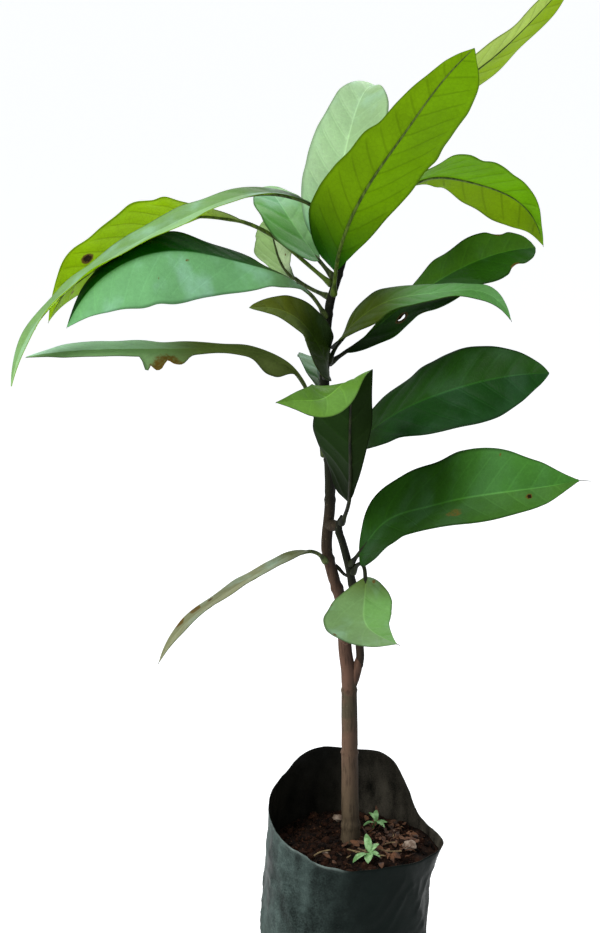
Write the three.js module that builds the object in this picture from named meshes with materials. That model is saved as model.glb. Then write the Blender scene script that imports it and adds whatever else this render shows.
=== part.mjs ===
// Potted nutmeg sapling: a young tree with large separate leaves, in a black polythene nursery bag.
// Millimetres, +Z up. The origin is the centre of the bag's flat underside. +X is to the right of
// someone who stands in front of the plant, and +Y points away from them.

import * as THREE from "three";

const DEG = Math.PI / 180;
const CLEAR = 0.3; // the gap that two touching pieces keep

// The bag: a tube of film pressed round by the soil, leaning a little to the right
const SOIL_LEVEL = 180;
const BAG_RADIUS = 40;
const BAG_WALL = 1.2;
const BAG_FLOOR = 1.6;
const BAG_HEEL = 5; // how far the rounded edge of the underside draws in
const BAG_LEAN = 13; // how far the axis has moved to the right at soil level
const BAG_SIDES = 40;
const BAG_SWELL = 1.2; // how far the sides stand out of round
// The rim above the soil, at steps of 45 degrees from the right, round by the back
const RIM_HEIGHTS = [3, 6, 28, 31, 33, 24, 21, 14, 6.5, 2, 2.5, 0];
const CORNER = { bearing: -10, reach: 5, spread: 13, depth: 22 }; // the rim's pulled-out corner

// The soil inside it
const SOIL_EDGE_DROP = 2.5; // how far the surface falls towards the film
const SOIL_LUMPS = 0.9;
const SOIL_PAD = 7; // radius of the level patch round the stem's foot

// The main stem: [height above the soil, x, y, radius], from the cut at the soil to the tip
const MAIN_STEM = [
  [0, 14, 0, 5.0],
  [7, 14, 0, 4.5],
  [22, 13.5, 0, 4.2],
  [60, 13, 0, 3.9],
  [84, 12.5, 0, 3.6],
  [94, 11, 0, 3.3],
  [118, 9, 0, 2.9],
  [134, 4.5, 0, 2.8],
  [146, 2, 0, 2.7],
  [166, 3.5, 1, 2.6],
  [190, 3, 1, 2.5],
  [214, 1, 1, 2.4],
  [236, 1, 1, 2.3],
  [258, 3, 1, 2.1],
  [272, 7, 2, 1.9],
  [292, 13, 4, 1.3],
];

// The side shoot, which leaves the main stem at the low fork and crosses in front of it
const SIDE_SHOOT = [
  [85, 16.4, -0.2, 1.5],
  [88.5, 17.4, -0.4, 1.8],
  [93, 17.8, -0.9, 1.9],
  [99, 17.4, -1.7, 1.9],
  [109, 16.9, -2.9, 1.9],
  [122, 15, -4.2, 1.9],
  [136, 12.6, -5.5, 1.9],
  [149, 9.4, -6.6, 1.8],
  [156, 7.4, -7.2, 1.7],
  [163, 8.6, -7.6, 1.4],
];

// The stub of a stalk whose leaf has gone: it leaves the main stem and ends close behind the shoot
const STUB = [
  [135.2, 7.9, 0.2, 0.9],
  [133.6, 9.3, -0.5, 0.8],
  [132.8, 10.5, -1.5, 0.75],
  [132.5, 11.6, -2.4, 0.65],
];

const STEM_SIDES = 12;
const STEM_RINGS = 44;
const STUB_SIDES = 8;
const STALK_RADIUS = 1.1;
const BLADE_THICKNESS = 1.5;
const EDGE_THICKNESS = 0.8;

// Colours of the leaves as the photo's light shows them: young ones lit from behind, full-grown
// ones, and those that turn their pale side or a shining one to the front
const LEAF_TONES = { young: "#6f9a1a", deep: "#36612a", pale: "#85b083" };

// Every leaf: its colour, the stem that it grows on, the height above the soil where its stalk starts, the
// stalk's and the blade's length, the width of the blade's left and right half, and how far along
// each half is widest. Then three rows of angles at even steps from the foot of the stalk to the
// tip: the bearing on the plan (0 is right, 90 is away), the rise above level, and the roll (a
// positive roll lifts the left edge, seen along the leaf). The fold is how far each half of the
// blade stands up from flat.
const LEAVES = {
  leaf_great_front: {
    tone: "young", on: "main", at: 264, stalk: 11, length: 128, half: [24.5, 20], belly: [0.55, 0.15],
    bearing: [-82, -54, -38, -28, -48], rise: [67, 59, 51, 52, 34], roll: [-55, -40, -70], fold: 20,
  },
  leaf_top_right: {
    tone: "young", on: "main", at: 291, stalk: 10, length: 146, half: [21.5, 17], belly: [0.61, 0.48],
    bearing: [27, 20, 7, 19, 2], rise: [64, 58, 35, 42, 49], roll: [-25, -29, -41], fold: 1,
  },
  leaf_top_back: {
    tone: "pale", on: "main", at: 273, stalk: 9, length: 108, half: [17, 17.5], belly: [0.31, 0.57],
    bearing: [111, 68, 67, 61], rise: [70, 63, 60, 33, -39], roll: [-7, 11, 7], fold: 21,
  },
  leaf_back_left_upper: {
    tone: "pale", on: "main", at: 271, stalk: 9, length: 60, half: [17, 12], belly: [0.31, 0.49],
    bearing: [161, 135, 117, 106], rise: [47, 43, 30, -5], roll: [-6, 3, -7], fold: 4,
  },
  leaf_back_left_lower: {
    tone: "pale", on: "main", at: 262, stalk: 19, length: 32.5, half: [10.5, 16.5], belly: [0.44, 0.38],
    bearing: [136, 152, 177, 186], rise: [10, 30, 73, 73], roll: [1, 37, 51], fold: 4,
  },
  leaf_right_arching: {
    tone: "young", on: "main", at: 283, stalk: 18, length: 114, half: [16.5, 27], belly: [0.75, 0.2],
    bearing: [-8, 45, 34, 22, -34], rise: [53, 31, -8, -24, -78], roll: [-53, -32, -55], fold: -7,
  },
  leaf_left_broad: {
    tone: "pale", on: "main", at: 254, stalk: 12, length: 130, half: [25, 19], belly: [0.61, 0.54],
    bearing: [-131, -159, -159, -170, -173], rise: [54, 20, 11, -28, -65],
    roll: [-12, -36, -26], fold: -18,
  },
  leaf_left_arching: {
    tone: "pale", on: "main", at: 281, stalk: 26, length: 171, half: [11.5, 13], belly: [0.51, 0.48],
    bearing: [-150, -163, -164, -164, -157], rise: [77, 23, -16, -25, -32, -50, -79],
    roll: [1, -7, -6, -6, 4, 3, -19], fold: 9,
  },
  leaf_left_outer: {
    tone: "young", on: "main", at: 268, stalk: 48, length: 107, half: [21.5, 22.5], belly: [0.47, 0.61],
    bearing: [167, 167, 179, 175, 204, 193, 215], rise: [38, 37, 13, -10, -32, -40, -64],
    roll: [0, 12, 38, 46], fold: 9,
  },
  leaf_left_level: {
    tone: "pale", on: "main", at: 190, stalk: 26, length: 139, half: [16.5, 16], belly: [0.54, 0.58],
    bearing: [-150, -164, -166, -170, -168], rise: [76, 71, 21, 3, 2, -1, -8],
    roll: [-25, 0, -10], fold: 2,
  },
  leaf_right_notched: {
    tone: "deep", on: "main", at: 232, stalk: 8, length: 108, half: [14.5, 24], belly: [0.71, 0.48],
    bearing: [13, 5, 18, 17], rise: [32, 40, 31, 15, -2], roll: [31, 19, 38], fold: 10,
  },
  leaf_right_keeled: {
    tone: "deep", on: "main", at: 233, stalk: 7, length: 94, half: [13, 17], belly: [0.33, 0.31],
    bearing: [-43, -5, -14, -17, -20], rise: [63, 41, 10, 3, -65], roll: [6, 17, 9, 30], fold: 5,
  },
  leaf_front_left: {
    tone: "deep", on: "main", at: 226, stalk: 5, length: 65, half: [14.5, 13.5], belly: [0.37, 0.3],
    bearing: [-77, -137, -136, -157], rise: [34, 56, 27, -1], roll: [-87, -55, -30], fold: 11,
  },
  leaf_front_folded: {
    tone: "deep", on: "shoot", at: 160, stalk: 14, length: 118, half: [12, 17], belly: [0.57, 0.24],
    bearing: [-64, -85, -101, -90, -120, -128, -137], rise: [51, 63, 77, 76, -15, 9, 2],
    roll: [-46, -45, 2, 29, -45, -71], fold: 6,
  },
  leaf_right_middle: {
    tone: "deep", on: "main", at: 187, stalk: 3, length: 108, half: [21.5, 22.5], belly: [0.52, 0.55],
    bearing: [-14, -21, -4, -8], rise: [43, 37, 23, 13, 1], roll: [40, 36, 68], fold: 0,
  },
  leaf_right_lower: {
    tone: "deep", on: "shoot", at: 140, stalk: 8, length: 116, half: [23, 26], belly: [0.52, 0.31],
    bearing: [-50, -34, -25, -40, -14, -7, -5], rise: [48, 52, 21, 21, 12, 10, 14],
    roll: [71, 40, 44, 74], fold: 21,
  },
  leaf_front_drooping: {
    tone: "pale", on: "shoot", at: 136, stalk: 17, length: 48, half: [13, 18.5], belly: [0.36, 0.52],
    bearing: [-45, -87, -95, -61, -34], rise: [66, -53, -33, -11, -8], roll: [-5, 5, 13], fold: 5,
  },
  leaf_left_low: {
    tone: "pale", on: "main", at: 140, stalk: 12, length: 90, half: [12, 8.5], belly: [0.51, 0.48],
    bearing: [-123, -165, -173, -157], rise: [45, -19, -31, -39, -63], roll: [0, 4, -1], fold: 7,
  },
  leaf_back_short: {
    tone: "pale", on: "main", at: 212, stalk: 8, length: 76, half: [8, 7], belly: [0.5, 0.5],
    bearing: [100, 92, 88], rise: [35, 0, -20], roll: [0, 0, 0], fold: 14,
  },
};

// A smooth step from one value to the next, at u from 0 to 1, with the slope wanted at each end
function hermite(from, to, slopeFrom, slopeTo, u) {
  const rest = to - from;
  const square = 3 * rest - 2 * slopeFrom - slopeTo;
  const cube = slopeFrom + slopeTo - 2 * rest;
  return from + slopeFrom * u + square * u ** 2 + cube * u ** 3;
}

// Value of a row of evenly spaced numbers at t from 0 to 1, on a smooth curve through them
function along(row, t) {
  const last = row.length - 1;
  const x = Math.min(Math.max(t, 0), 1) * last;
  const i = Math.min(Math.floor(x), last - 1);
  const [a, b, c, d] = [row[Math.max(i - 1, 0)], row[i], row[i + 1], row[Math.min(i + 2, last)]];
  return hermite(b, c, (c - a) / 2, (d - b) / 2, x - i);
}

// The same for a row that closes on itself, at a bearing in radians
function around(row, bearing) {
  const n = row.length;
  const x = (((bearing / (2 * Math.PI)) % 1) + 1) % 1 * n;
  const i = Math.floor(x) % n;
  const [a, b, c, d] = [row[(i + n - 1) % n], row[i], row[(i + 1) % n], row[(i + 2) % n]];
  return hermite(b, c, (c - a) / 2, (d - b) / 2, x - i);
}

// A closed body from rings of points that all have the same number of points, each ring going
// anticlockwise as seen by someone who looks back from the last ring to the first. Where turned, the
// four-sided faces are cut along their other diagonal.
function loft(rings, turned = false) {
  const n = rings[0].length;
  const positions = rings.flat().flatMap((p) => [p.x, p.y, p.z]);
  const index = [];
  for (let r = 0; r < rings.length - 1; r++) {
    for (let k = 0; k < n; k++) {
      const a = r * n + k;
      const b = r * n + ((k + 1) % n);
      if (turned) index.push(a, b, a + n, b, b + n, a + n);
      else index.push(a, b, b + n, a, b + n, a + n);
    }
  }
  const top = (rings.length - 1) * n;
  for (let k = 1; k < n - 1; k++) {
    index.push(0, k + 1, k);
    index.push(top, top + k, top + k + 1);
  }
  const geometry = new THREE.BufferGeometry();
  geometry.setAttribute("position", new THREE.Float32BufferAttribute(positions, 3));
  geometry.setIndex(index);
  return geometry;
}

const group = new THREE.Group();

function add(name, geometry, color, roughness) {
  geometry.computeVertexNormals();
  const mesh = new THREE.Mesh(geometry, new THREE.MeshStandardMaterial({ color, roughness, metalness: 0 }));
  mesh.name = name;
  group.add(mesh);
}

// Stems

// Slope of a column of a stem's table at row i, for each unit of height
function slopeAt(stem, i, column) {
  const [before, after] = [stem[Math.max(i - 1, 0)], stem[Math.min(i + 1, stem.length - 1)]];
  return (after[column] - before[column]) / (after[0] - before[0]);
}

// Centre and radius of a stem at a height above the soil
function stemAt(stem, height) {
  let i = 0;
  while (i < stem.length - 2 && height > stem[i + 1][0]) i++;
  const span = stem[i + 1][0] - stem[i][0];
  const u = (height - stem[i][0]) / span;
  const [x, y, radius] = [1, 2, 3].map((column) =>
    hermite(
      stem[i][column],
      stem[i + 1][column],
      slopeAt(stem, i, column) * span,
      slopeAt(stem, i + 1, column) * span,
      u,
    ),
  );
  return { x, y, z: SOIL_LEVEL + height, radius };
}

// A ring of points round a limb, square to the direction that it grows in
function limbRing(centre, radius, direction, sides = STEM_SIDES) {
  const ahead = direction.clone().normalize();
  const back = new THREE.Vector3(0, 1, 0).addScaledVector(ahead, -ahead.y).normalize();
  const right = new THREE.Vector3().crossVectors(back, ahead);
  return Array.from({ length: sides }, (_, k) => {
    const a = (2 * Math.PI * k) / sides;
    const across = right.clone().multiplyScalar(Math.cos(a)).addScaledVector(back, Math.sin(a));
    return centre.clone().addScaledVector(across, radius);
  });
}

// The main stem has level rings, so that its foot is cut flat
function mainStemBody() {
  const up = new THREE.Vector3(0, 0, 1);
  const top = MAIN_STEM[MAIN_STEM.length - 1][0];
  const rings = Array.from({ length: STEM_RINGS + 1 }, (_, r) => {
    const { x, y, z, radius } = stemAt(MAIN_STEM, (top * r) / STEM_RINGS);
    return limbRing(new THREE.Vector3(x, y, r === 0 ? z + CLEAR : z), radius, up);
  });
  return loft(rings);
}

// A limb with a ring at each row of its table; the first ring stands upright against its stem
function limbBody(table, sides) {
  const points = table.map(([height, x, y]) => new THREE.Vector3(x, y, SOIL_LEVEL + height));
  const rings = points.map((point, i) => {
    const ahead = points[Math.min(i + 1, points.length - 1)].clone().sub(points[Math.max(i - 1, 0)]);
    return limbRing(point, table[i][3], i === 0 ? new THREE.Vector3(1, 0, 0) : ahead, sides);
  });
  return loft(rings);
}

// Leaves

const BLADE_STATIONS = [0, 0.05, 0.12, 0.2, 0.29, 0.38, 0.47, 0.56, 0.65, 0.74, 0.82, 0.89, 0.95, 1];
const PATH_STEPS = 120;

// Half the width of a blade at t from its base (0) to its tip (1), as a share of the widest
function bladeOutline(t, belly) {
  const bend = Math.log(0.5) / Math.log(belly);
  const body = Math.sin(Math.PI * Math.min(t, 1) ** bend) ** 0.8;
  return Math.max(body, 0.04);
}

// The line that a leaf's stalk and midrib follow, with a frame at each point: ahead, left and up
function leafLine(leaf) {
  const table = leaf.on === "main" ? MAIN_STEM : SIDE_SHOOT;
  const stem = stemAt(table, leaf.at);
  const total = leaf.stalk + leaf.length;
  const toward = leaf.bearing[0] * DEG;
  // How far out the stem's side lies beside the whole foot of the stalk
  const side = [-STALK_RADIUS, 0, STALK_RADIUS].map((step) => {
    const { x, y, radius } = stemAt(table, leaf.at + step);
    return (x - stem.x) * Math.cos(toward) + (y - stem.y) * Math.sin(toward) + radius;
  });
  const reach = Math.max(...side) + CLEAR + 0.05;
  const point = new THREE.Vector3(reach * Math.cos(toward), reach * Math.sin(toward), 0).add(stem);
  const line = [];
  for (let i = 0; i <= PATH_STEPS; i++) {
    const t = i / PATH_STEPS;
    const bearing = along(leaf.bearing, t) * DEG;
    const rise = along(leaf.rise, t) * DEG;
    const roll = along(leaf.roll, t) * DEG;
    const ahead = new THREE.Vector3(
      Math.cos(rise) * Math.cos(bearing),
      Math.cos(rise) * Math.sin(bearing),
      Math.sin(rise),
    );
    const level = new THREE.Vector3(-Math.sin(bearing), Math.cos(bearing), 0);
    const upright = new THREE.Vector3().crossVectors(ahead, level);
    const left = level.clone().multiplyScalar(Math.cos(roll)).addScaledVector(upright, Math.sin(roll));
    const up = upright.clone().multiplyScalar(Math.cos(roll)).addScaledVector(level, -Math.sin(roll));
    line.push({ point: point.clone(), ahead, left, up });
    point.addScaledVector(ahead, total / PATH_STEPS);
  }
  return line;
}

// The frame of a leaf's line at a distance from the foot of its stalk
function frameAt(line, leaf, distance) {
  const i = Math.round((distance / (leaf.stalk + leaf.length)) * PATH_STEPS);
  return line[Math.min(Math.max(i, 0), PATH_STEPS)];
}

// Ten points round a blade: two thin halves that meet in a shallow fold at the midrib
function bladeRing(frame, halves, fold, thick) {
  const { point, left, up } = frame;
  const rib = thick / 2 + 0.1;
  // A point on one half (1 left, -1 right), at a share of its width, above or below its middle
  const at = (side, share, face) => {
    const half = halves[side > 0 ? 0 : 1];
    const body = share === 0 ? rib : Math.min(share < 1 ? thick : EDGE_THICKNESS, 0.2 + half) / 2;
    const out = Math.cos(fold * DEG) * half * share * side;
    const lift = Math.sin(fold * DEG) * half * share + body * face;
    return point.clone().addScaledVector(left, out).addScaledVector(up, lift);
  };
  return [
    at(1, 0, 1),
    at(-1, 0.55, 1),
    at(-1, 1, 1),
    at(-1, 1, -1),
    at(-1, 0.55, -1),
    at(1, 0, -1),
    at(1, 0.55, -1),
    at(1, 1, -1),
    at(1, 1, 1),
    at(1, 0.55, 1),
  ];
}

// Ten points round a stalk; the first ring stands upright, so that it lies against the stem
function stalkRing(frame, radius, upright) {
  const { point, ahead, left, up } = frame;
  const rise = upright ? new THREE.Vector3(0, 0, 1) : up;
  const side = upright ? new THREE.Vector3(-ahead.y, ahead.x, 0).normalize() : left;
  return Array.from({ length: 10 }, (_, k) => {
    const a = (2 * Math.PI * k) / 10;
    const out = rise.clone().multiplyScalar(Math.cos(a)).addScaledVector(side, -Math.sin(a));
    return point.clone().addScaledVector(out, radius);
  });
}

function leafBody(leaf) {
  const line = leafLine(leaf);
  const rings = [
    stalkRing(frameAt(line, leaf, 0), STALK_RADIUS, true),
    stalkRing(frameAt(line, leaf, leaf.stalk * 0.5), STALK_RADIUS, false),
    stalkRing(frameAt(line, leaf, leaf.stalk * 0.8), STALK_RADIUS, false),
  ];
  for (const t of BLADE_STATIONS) {
    const halves = leaf.half.map((half, side) => half * bladeOutline(t, leaf.belly[side]));
    const thick = BLADE_THICKNESS * (1 - 0.4 * t);
    rings.push(bladeRing(frameAt(line, leaf, leaf.stalk + leaf.length * t), halves, leaf.fold, thick));
  }
  return loft(rings);
}

// Bag and soil

function rimHeight(bearing) {
  return SOIL_LEVEL + around(RIM_HEIGHTS, bearing);
}

function soilEdge(bearing) {
  return SOIL_LEVEL - SOIL_EDGE_DROP + SOIL_LUMPS * Math.sin(4 * bearing + 0.5);
}

// How strongly a bearing belongs to the rim's corner, from 0 to 1
function cornerShare(bearing) {
  const turn = Math.atan2(Math.sin(bearing - CORNER.bearing * DEG), Math.cos(bearing - CORNER.bearing * DEG));
  return Math.exp(-((turn / (CORNER.spread * DEG)) ** 2));
}

// Radius of the film's outside at a bearing and height
function bagRadius(bearing, z) {
  const swell = BAG_SWELL * Math.cos(3 * bearing + 1) * Math.sin((Math.PI * z) / SOIL_LEVEL / 1.3);
  const heel = BAG_HEEL * Math.max(0, 1 - z / BAG_HEEL) ** 2;
  const top = Math.max(0, 1 - (rimHeight(bearing) - z) / CORNER.depth);
  return BAG_RADIUS + swell - heel + CORNER.reach * cornerShare(bearing) * top ** 1.5;
}

// A ring round the leaning axis, drawn in from the film's outside, at a height for each bearing
function bagRing(inset, height) {
  return Array.from({ length: BAG_SIDES }, (_, k) => {
    const a = (2 * Math.PI * k) / BAG_SIDES;
    const z = height(a);
    const r = bagRadius(a, z) - inset;
    return new THREE.Vector3((BAG_LEAN * z) / SOIL_LEVEL + r * Math.cos(a), r * Math.sin(a), z);
  });
}

// Heights of the rings beside the soil, which the film and the soil share, and of those above it
const BESIDE_SOIL = [0, 0.12, 0.3, 0.5, 0.7, 0.87, 1].map(
  (share) => (a) => BAG_HEEL + (soilEdge(a) - BAG_HEEL) * share,
);
const ABOVE_SOIL = [0.35, 0.7, 1].map((share) => (a) => soilEdge(a) + (rimHeight(a) - soilEdge(a)) * share);

function bagBody() {
  const heights = [...BESIDE_SOIL, ...ABOVE_SOIL];
  const underside = [0, BAG_HEEL / 4].map((z) => bagRing(0, () => z));
  const outside = heights.map((height) => bagRing(0, height));
  const inside = heights.toReversed().map((height) => bagRing(BAG_WALL, height));
  return loft([...underside, ...outside, ...inside, bagRing(BAG_WALL + 1, () => BAG_FLOOR)]);
}

function soilBody() {
  const inset = BAG_WALL + CLEAR + 0.1;
  const sides = BESIDE_SOIL.map((height) => bagRing(inset, height));
  const rings = [bagRing(inset + 1, () => BAG_FLOOR + CLEAR), ...sides];
  const foot = new THREE.Vector3(MAIN_STEM[0][1], MAIN_STEM[0][2], SOIL_LEVEL);
  const rim = sides[sides.length - 1];
  for (const share of [0.78, 0.55, 0.32]) {
    rings.push(
      rim.map((p, k) => {
        const a = (2 * Math.PI * k) / BAG_SIDES;
        const point = foot.clone().lerp(p, share);
        point.z += SOIL_LUMPS * Math.sin(3 * a + 9 * share) * (1 - share);
        return point;
      }),
    );
  }
  rings.push(
    rim.map((_, k) => {
      const a = (2 * Math.PI * k) / BAG_SIDES;
      return new THREE.Vector3(foot.x + SOIL_PAD * Math.cos(a), foot.y + SOIL_PAD * Math.sin(a), SOIL_LEVEL);
    }),
  );
  return loft(rings, true);
}

add("nursery_bag", bagBody(), "#2c3434", 0.5);
add("soil", soilBody(), "#2e2018", 0.95);
add("main_stem", mainStemBody(), "#5a4638", 0.75);
add("side_shoot", limbBody(SIDE_SHOOT, STEM_SIDES), "#4c3a2e", 0.75);
add("stalk_stub", limbBody(STUB, STUB_SIDES), "#3c3226", 0.75);
for (const [name, leaf] of Object.entries(LEAVES)) {
  add(name, leafBody(leaf), LEAF_TONES[leaf.tone], 0.45);
}

export default group;
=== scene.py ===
# %% [markdown]
# # A nutmeg sapling in a nursery bag
# The part is a young nutmeg tree, about 40 cm tall above its soil: one slim stem with a side
# shoot, nineteen large leaves, and a black polythene bag filled with soil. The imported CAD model
# is loaded first and stays as the fixed frame. Every piece below takes the place of one of its
# solids, or lies on one. Sizes are written in millimetres and become metres in the meshes.

# %% Load the frame
import math

import bpy
import numpy as np
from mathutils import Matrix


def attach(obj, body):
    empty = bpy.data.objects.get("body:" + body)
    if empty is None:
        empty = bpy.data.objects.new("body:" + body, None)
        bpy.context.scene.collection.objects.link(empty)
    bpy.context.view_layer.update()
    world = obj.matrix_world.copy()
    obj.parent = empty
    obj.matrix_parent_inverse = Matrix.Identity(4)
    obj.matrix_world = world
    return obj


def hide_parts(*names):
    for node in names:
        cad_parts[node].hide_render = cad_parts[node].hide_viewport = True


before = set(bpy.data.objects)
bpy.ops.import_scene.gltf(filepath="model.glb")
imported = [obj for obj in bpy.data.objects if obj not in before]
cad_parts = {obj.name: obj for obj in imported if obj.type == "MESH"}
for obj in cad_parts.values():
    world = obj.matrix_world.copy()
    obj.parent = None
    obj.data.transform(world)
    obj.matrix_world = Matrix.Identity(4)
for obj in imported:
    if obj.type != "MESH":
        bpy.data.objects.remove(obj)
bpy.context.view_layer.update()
MM = 0.001
print("solids in the frame:", len(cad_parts))

# %% [markdown]
# ## Camera, lamps and floor
# The photograph looks down at the plant by 13.5 degrees from about 0.9 m, with a long lens. A
# camera can be aimed by a constraint or by its angles. Here it repeats the photograph's place
# and tilt, so a render can be laid over the photograph. The floor is a pale sheet, and three
# large lamps give soft studio light: a key lamp from the upper left, a weaker one from the
# right, and one from behind that makes the leaves' edges stand out.

# %% Camera, lamps and floor
CAMERA_PLACE, CAMERA_TILT, LENS_MM = (-0.0103, -0.9, 0.58), 76.5, 78.1
LAMPS = {  # place, the point that it faces, side in m, watts
    "key_lamp": ((-0.9, -0.7, 1.5), (0, 0, 0.35), 0.7, 13),
    "fill_lamp": ((1.3, -1.0, 0.9), (0, 0, 0.35), 1.2, 3),
    "back_lamp": ((0.3, 1.2, 1.3), (0, 0, 0.4), 1.0, 8),
}
SKY = {"Color": (0.92, 0.96, 1.0, 1.0), "Strength": 0.5}
PAPER = {"Base Color": (0.9, 0.9, 0.9, 1), "Roughness": 0.9, "Emission Color": (1, 1, 1, 1),
         "Emission Strength": 0.56}
FLOOR_REACH = 90.0


def placed(name, data):
    """A new object in the scene that holds some data."""
    made = bpy.data.objects.new(name, data)
    bpy.context.scene.collection.objects.link(made)
    return made


def set_inputs(node, values):
    for label, value in values.items():
        node.inputs[label].default_value = value


camera = placed("camera", bpy.data.cameras.new("camera"))
camera.location = CAMERA_PLACE
camera.rotation_euler = (math.radians(CAMERA_TILT), 0, 0)
camera.data.lens = LENS_MM
camera.data.clip_start, camera.data.clip_end = 0.01, 400
bpy.context.scene.camera = camera
bpy.context.scene.view_settings.view_transform = "Standard"

for name, (place, aim, size, watts) in LAMPS.items():
    light = bpy.data.lights.new(name, "AREA")
    light.shape, light.size, light.energy = "SQUARE", size, watts
    lamp = placed(name, light)
    lamp.location = place
    way = np.array(aim) - np.array(place)
    tilt = math.atan2(math.hypot(way[0], way[1]), -way[2])
    lamp.rotation_euler = (tilt, 0, math.atan2(way[1], way[0]) - math.pi / 2)

world = bpy.data.worlds.new("studio")
world.use_nodes = True
set_inputs(world.node_tree.nodes["Background"], SKY)
bpy.context.scene.world = world

floor_mesh = bpy.data.meshes.new("floor")
CORNERS = ((-1, -1), (1, -1), (1, 1), (-1, 1))
floor_mesh.from_pydata([(FLOOR_REACH * x, FLOOR_REACH * y, 0) for x, y in CORNERS], [], [(0, 1, 2, 3)])
floor = placed("floor", floor_mesh)
paper = bpy.data.materials.new("paper")
paper.use_nodes = True
set_inputs(paper.node_tree.nodes["Principled BSDF"], PAPER)
floor_mesh.materials.append(paper)
print("camera and lamps:", camera.name, list(LAMPS))

# %% [markdown]
# ## Helpers for meshes
# Leaves and film could be modelled by hand. They are worked out as rows of points here, because
# the solids come from the same rules and named sizes, and the two have to agree. Neighbouring
# rows make a skin of four-sided faces. A cubic curve through evenly spread values gives what
# lies between the named ones, and a lattice of chance values gives soft unevenness.

# %% Helpers for meshes
def make_piece(name, points, faces, materials, face_material=None, layers=None, marks=None):
    """A smooth mesh object from points in mm, with named UV layers and point values."""
    mesh = bpy.data.meshes.new(name)
    mesh.from_pydata((np.asarray(points) * MM).tolist(), [], [tuple(map(int, f)) for f in faces])
    for material in materials:
        mesh.materials.append(material)
    if face_material is not None:
        mesh.polygons.foreach_set("material_index", np.asarray(face_material, dtype=np.int32))
    corner = np.empty(len(mesh.loops), dtype=np.int32)
    mesh.loops.foreach_get("vertex_index", corner)
    for layer, values in (layers or {}).items():
        mesh.uv_layers.new(name=layer).data.foreach_set("uv", np.asarray(values)[corner].ravel())
    for mark, values in (marks or {}).items():
        mesh.attributes.new(mark, "FLOAT", "POINT").data.foreach_set("value", np.asarray(values).ravel())
    mesh.shade_smooth()
    return placed(name, mesh)


def join(name, pieces):
    """Several objects as one mesh under one name."""
    first = pieces[0]
    with bpy.context.temp_override(active_object=first, selected_editable_objects=pieces):
        bpy.ops.object.join()
    first.name = first.data.name = name
    return first


def cubic(low, high, slope_low, slope_high, u):
    """A smooth curve from low to high with the given slopes at its ends, at u from 0 to 1."""
    rest = high - low
    square, cube = 3 * rest - 2 * slope_low - slope_high, slope_low + slope_high - 2 * rest
    return low + slope_low * u + square * u**2 + cube * u**3


def along(row, t, closed=False):
    """The value at t, 0 to 1, of a smooth curve through evenly spread numbers, in a line or a ring."""
    row = np.asarray(row, dtype=float)
    count = len(row)
    spans = count if closed else count - 1
    x = (t % 1.0 if closed else np.clip(t, 0, 1)) * spans
    i = np.minimum(np.floor(x).astype(int), spans - 1)
    a, b, c, d = (row[(i + k) % count if closed else np.clip(i + k, 0, count - 1)] for k in (-1, 0, 1, 2))
    return cubic(b, c, (c - a) / 2, (d - b) / 2, x - i)


def ramp(low, high, x):
    """0 below low, 1 above high, and a smooth step between."""
    s = np.clip((x - low) / (high - low), 0, 1)
    return s * s * (3 - 2 * s)


def window(from_low, from_high, to_low, to_high, x):
    """0, then 1 between the first pair and the second, then 0 again."""
    return ramp(from_low, from_high, x) * (1 - ramp(to_low, to_high, x))


def lattice(x, y, columns, rows, seed):
    """Smooth chance values, 0 to 1, on columns by rows cells. They repeat in x, and y goes from 0 to 1."""
    table = np.random.default_rng(seed).random((columns + 1, rows + 2))
    table[columns] = table[0]
    px, py = x % 1 * columns, np.clip(y, 0, 1) * rows
    i, j = np.minimum(np.floor(px).astype(int), columns - 1), np.floor(py).astype(int)
    u, v = px - i, py - j
    u, v = u * u * (3 - 2 * u), v * v * (3 - 2 * v)
    low = table[i, j] * (1 - u) + table[i + 1, j] * u
    high = table[i, j + 1] * (1 - u) + table[i + 1, j + 1] * u
    return low * (1 - v) + high * v


def grid_quads(index):
    """Four-sided faces over a grid of point numbers."""
    return np.stack([index[:-1, :-1], index[1:, :-1], index[1:, 1:], index[:-1, 1:]], -1)


def tube(rings):
    """The points and faces of a skin over rows of rings, with a face over each end."""
    count, size = rings.shape[:2]
    index = np.arange(count * size).reshape(count, size)
    after = np.roll(index, -1, 1)
    quads = np.stack([index[:-1], after[:-1], after[1:], index[1:]], -1).reshape(-1, 4)
    return rings.reshape(-1, 3), [tuple(q) for q in quads] + [tuple(index[0][::-1]), tuple(index[-1])]


print("a smooth curve through 0, 3 and 1, a quarter along:", along([0, 3, 1], 0.25).round(3))


# %% [markdown]
# ## A helper for nodes
# Trees of nodes shape the round limbs and the crumbs, and colour every surface. They could be
# drawn in Blender's editor, but a script can be read and run again. The helper adds nodes to one
# tree. Each input takes a plain value or a link from another node. It has short calls for the
# few nodes that most finishes use, and one that dresses the material's shader.

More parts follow.
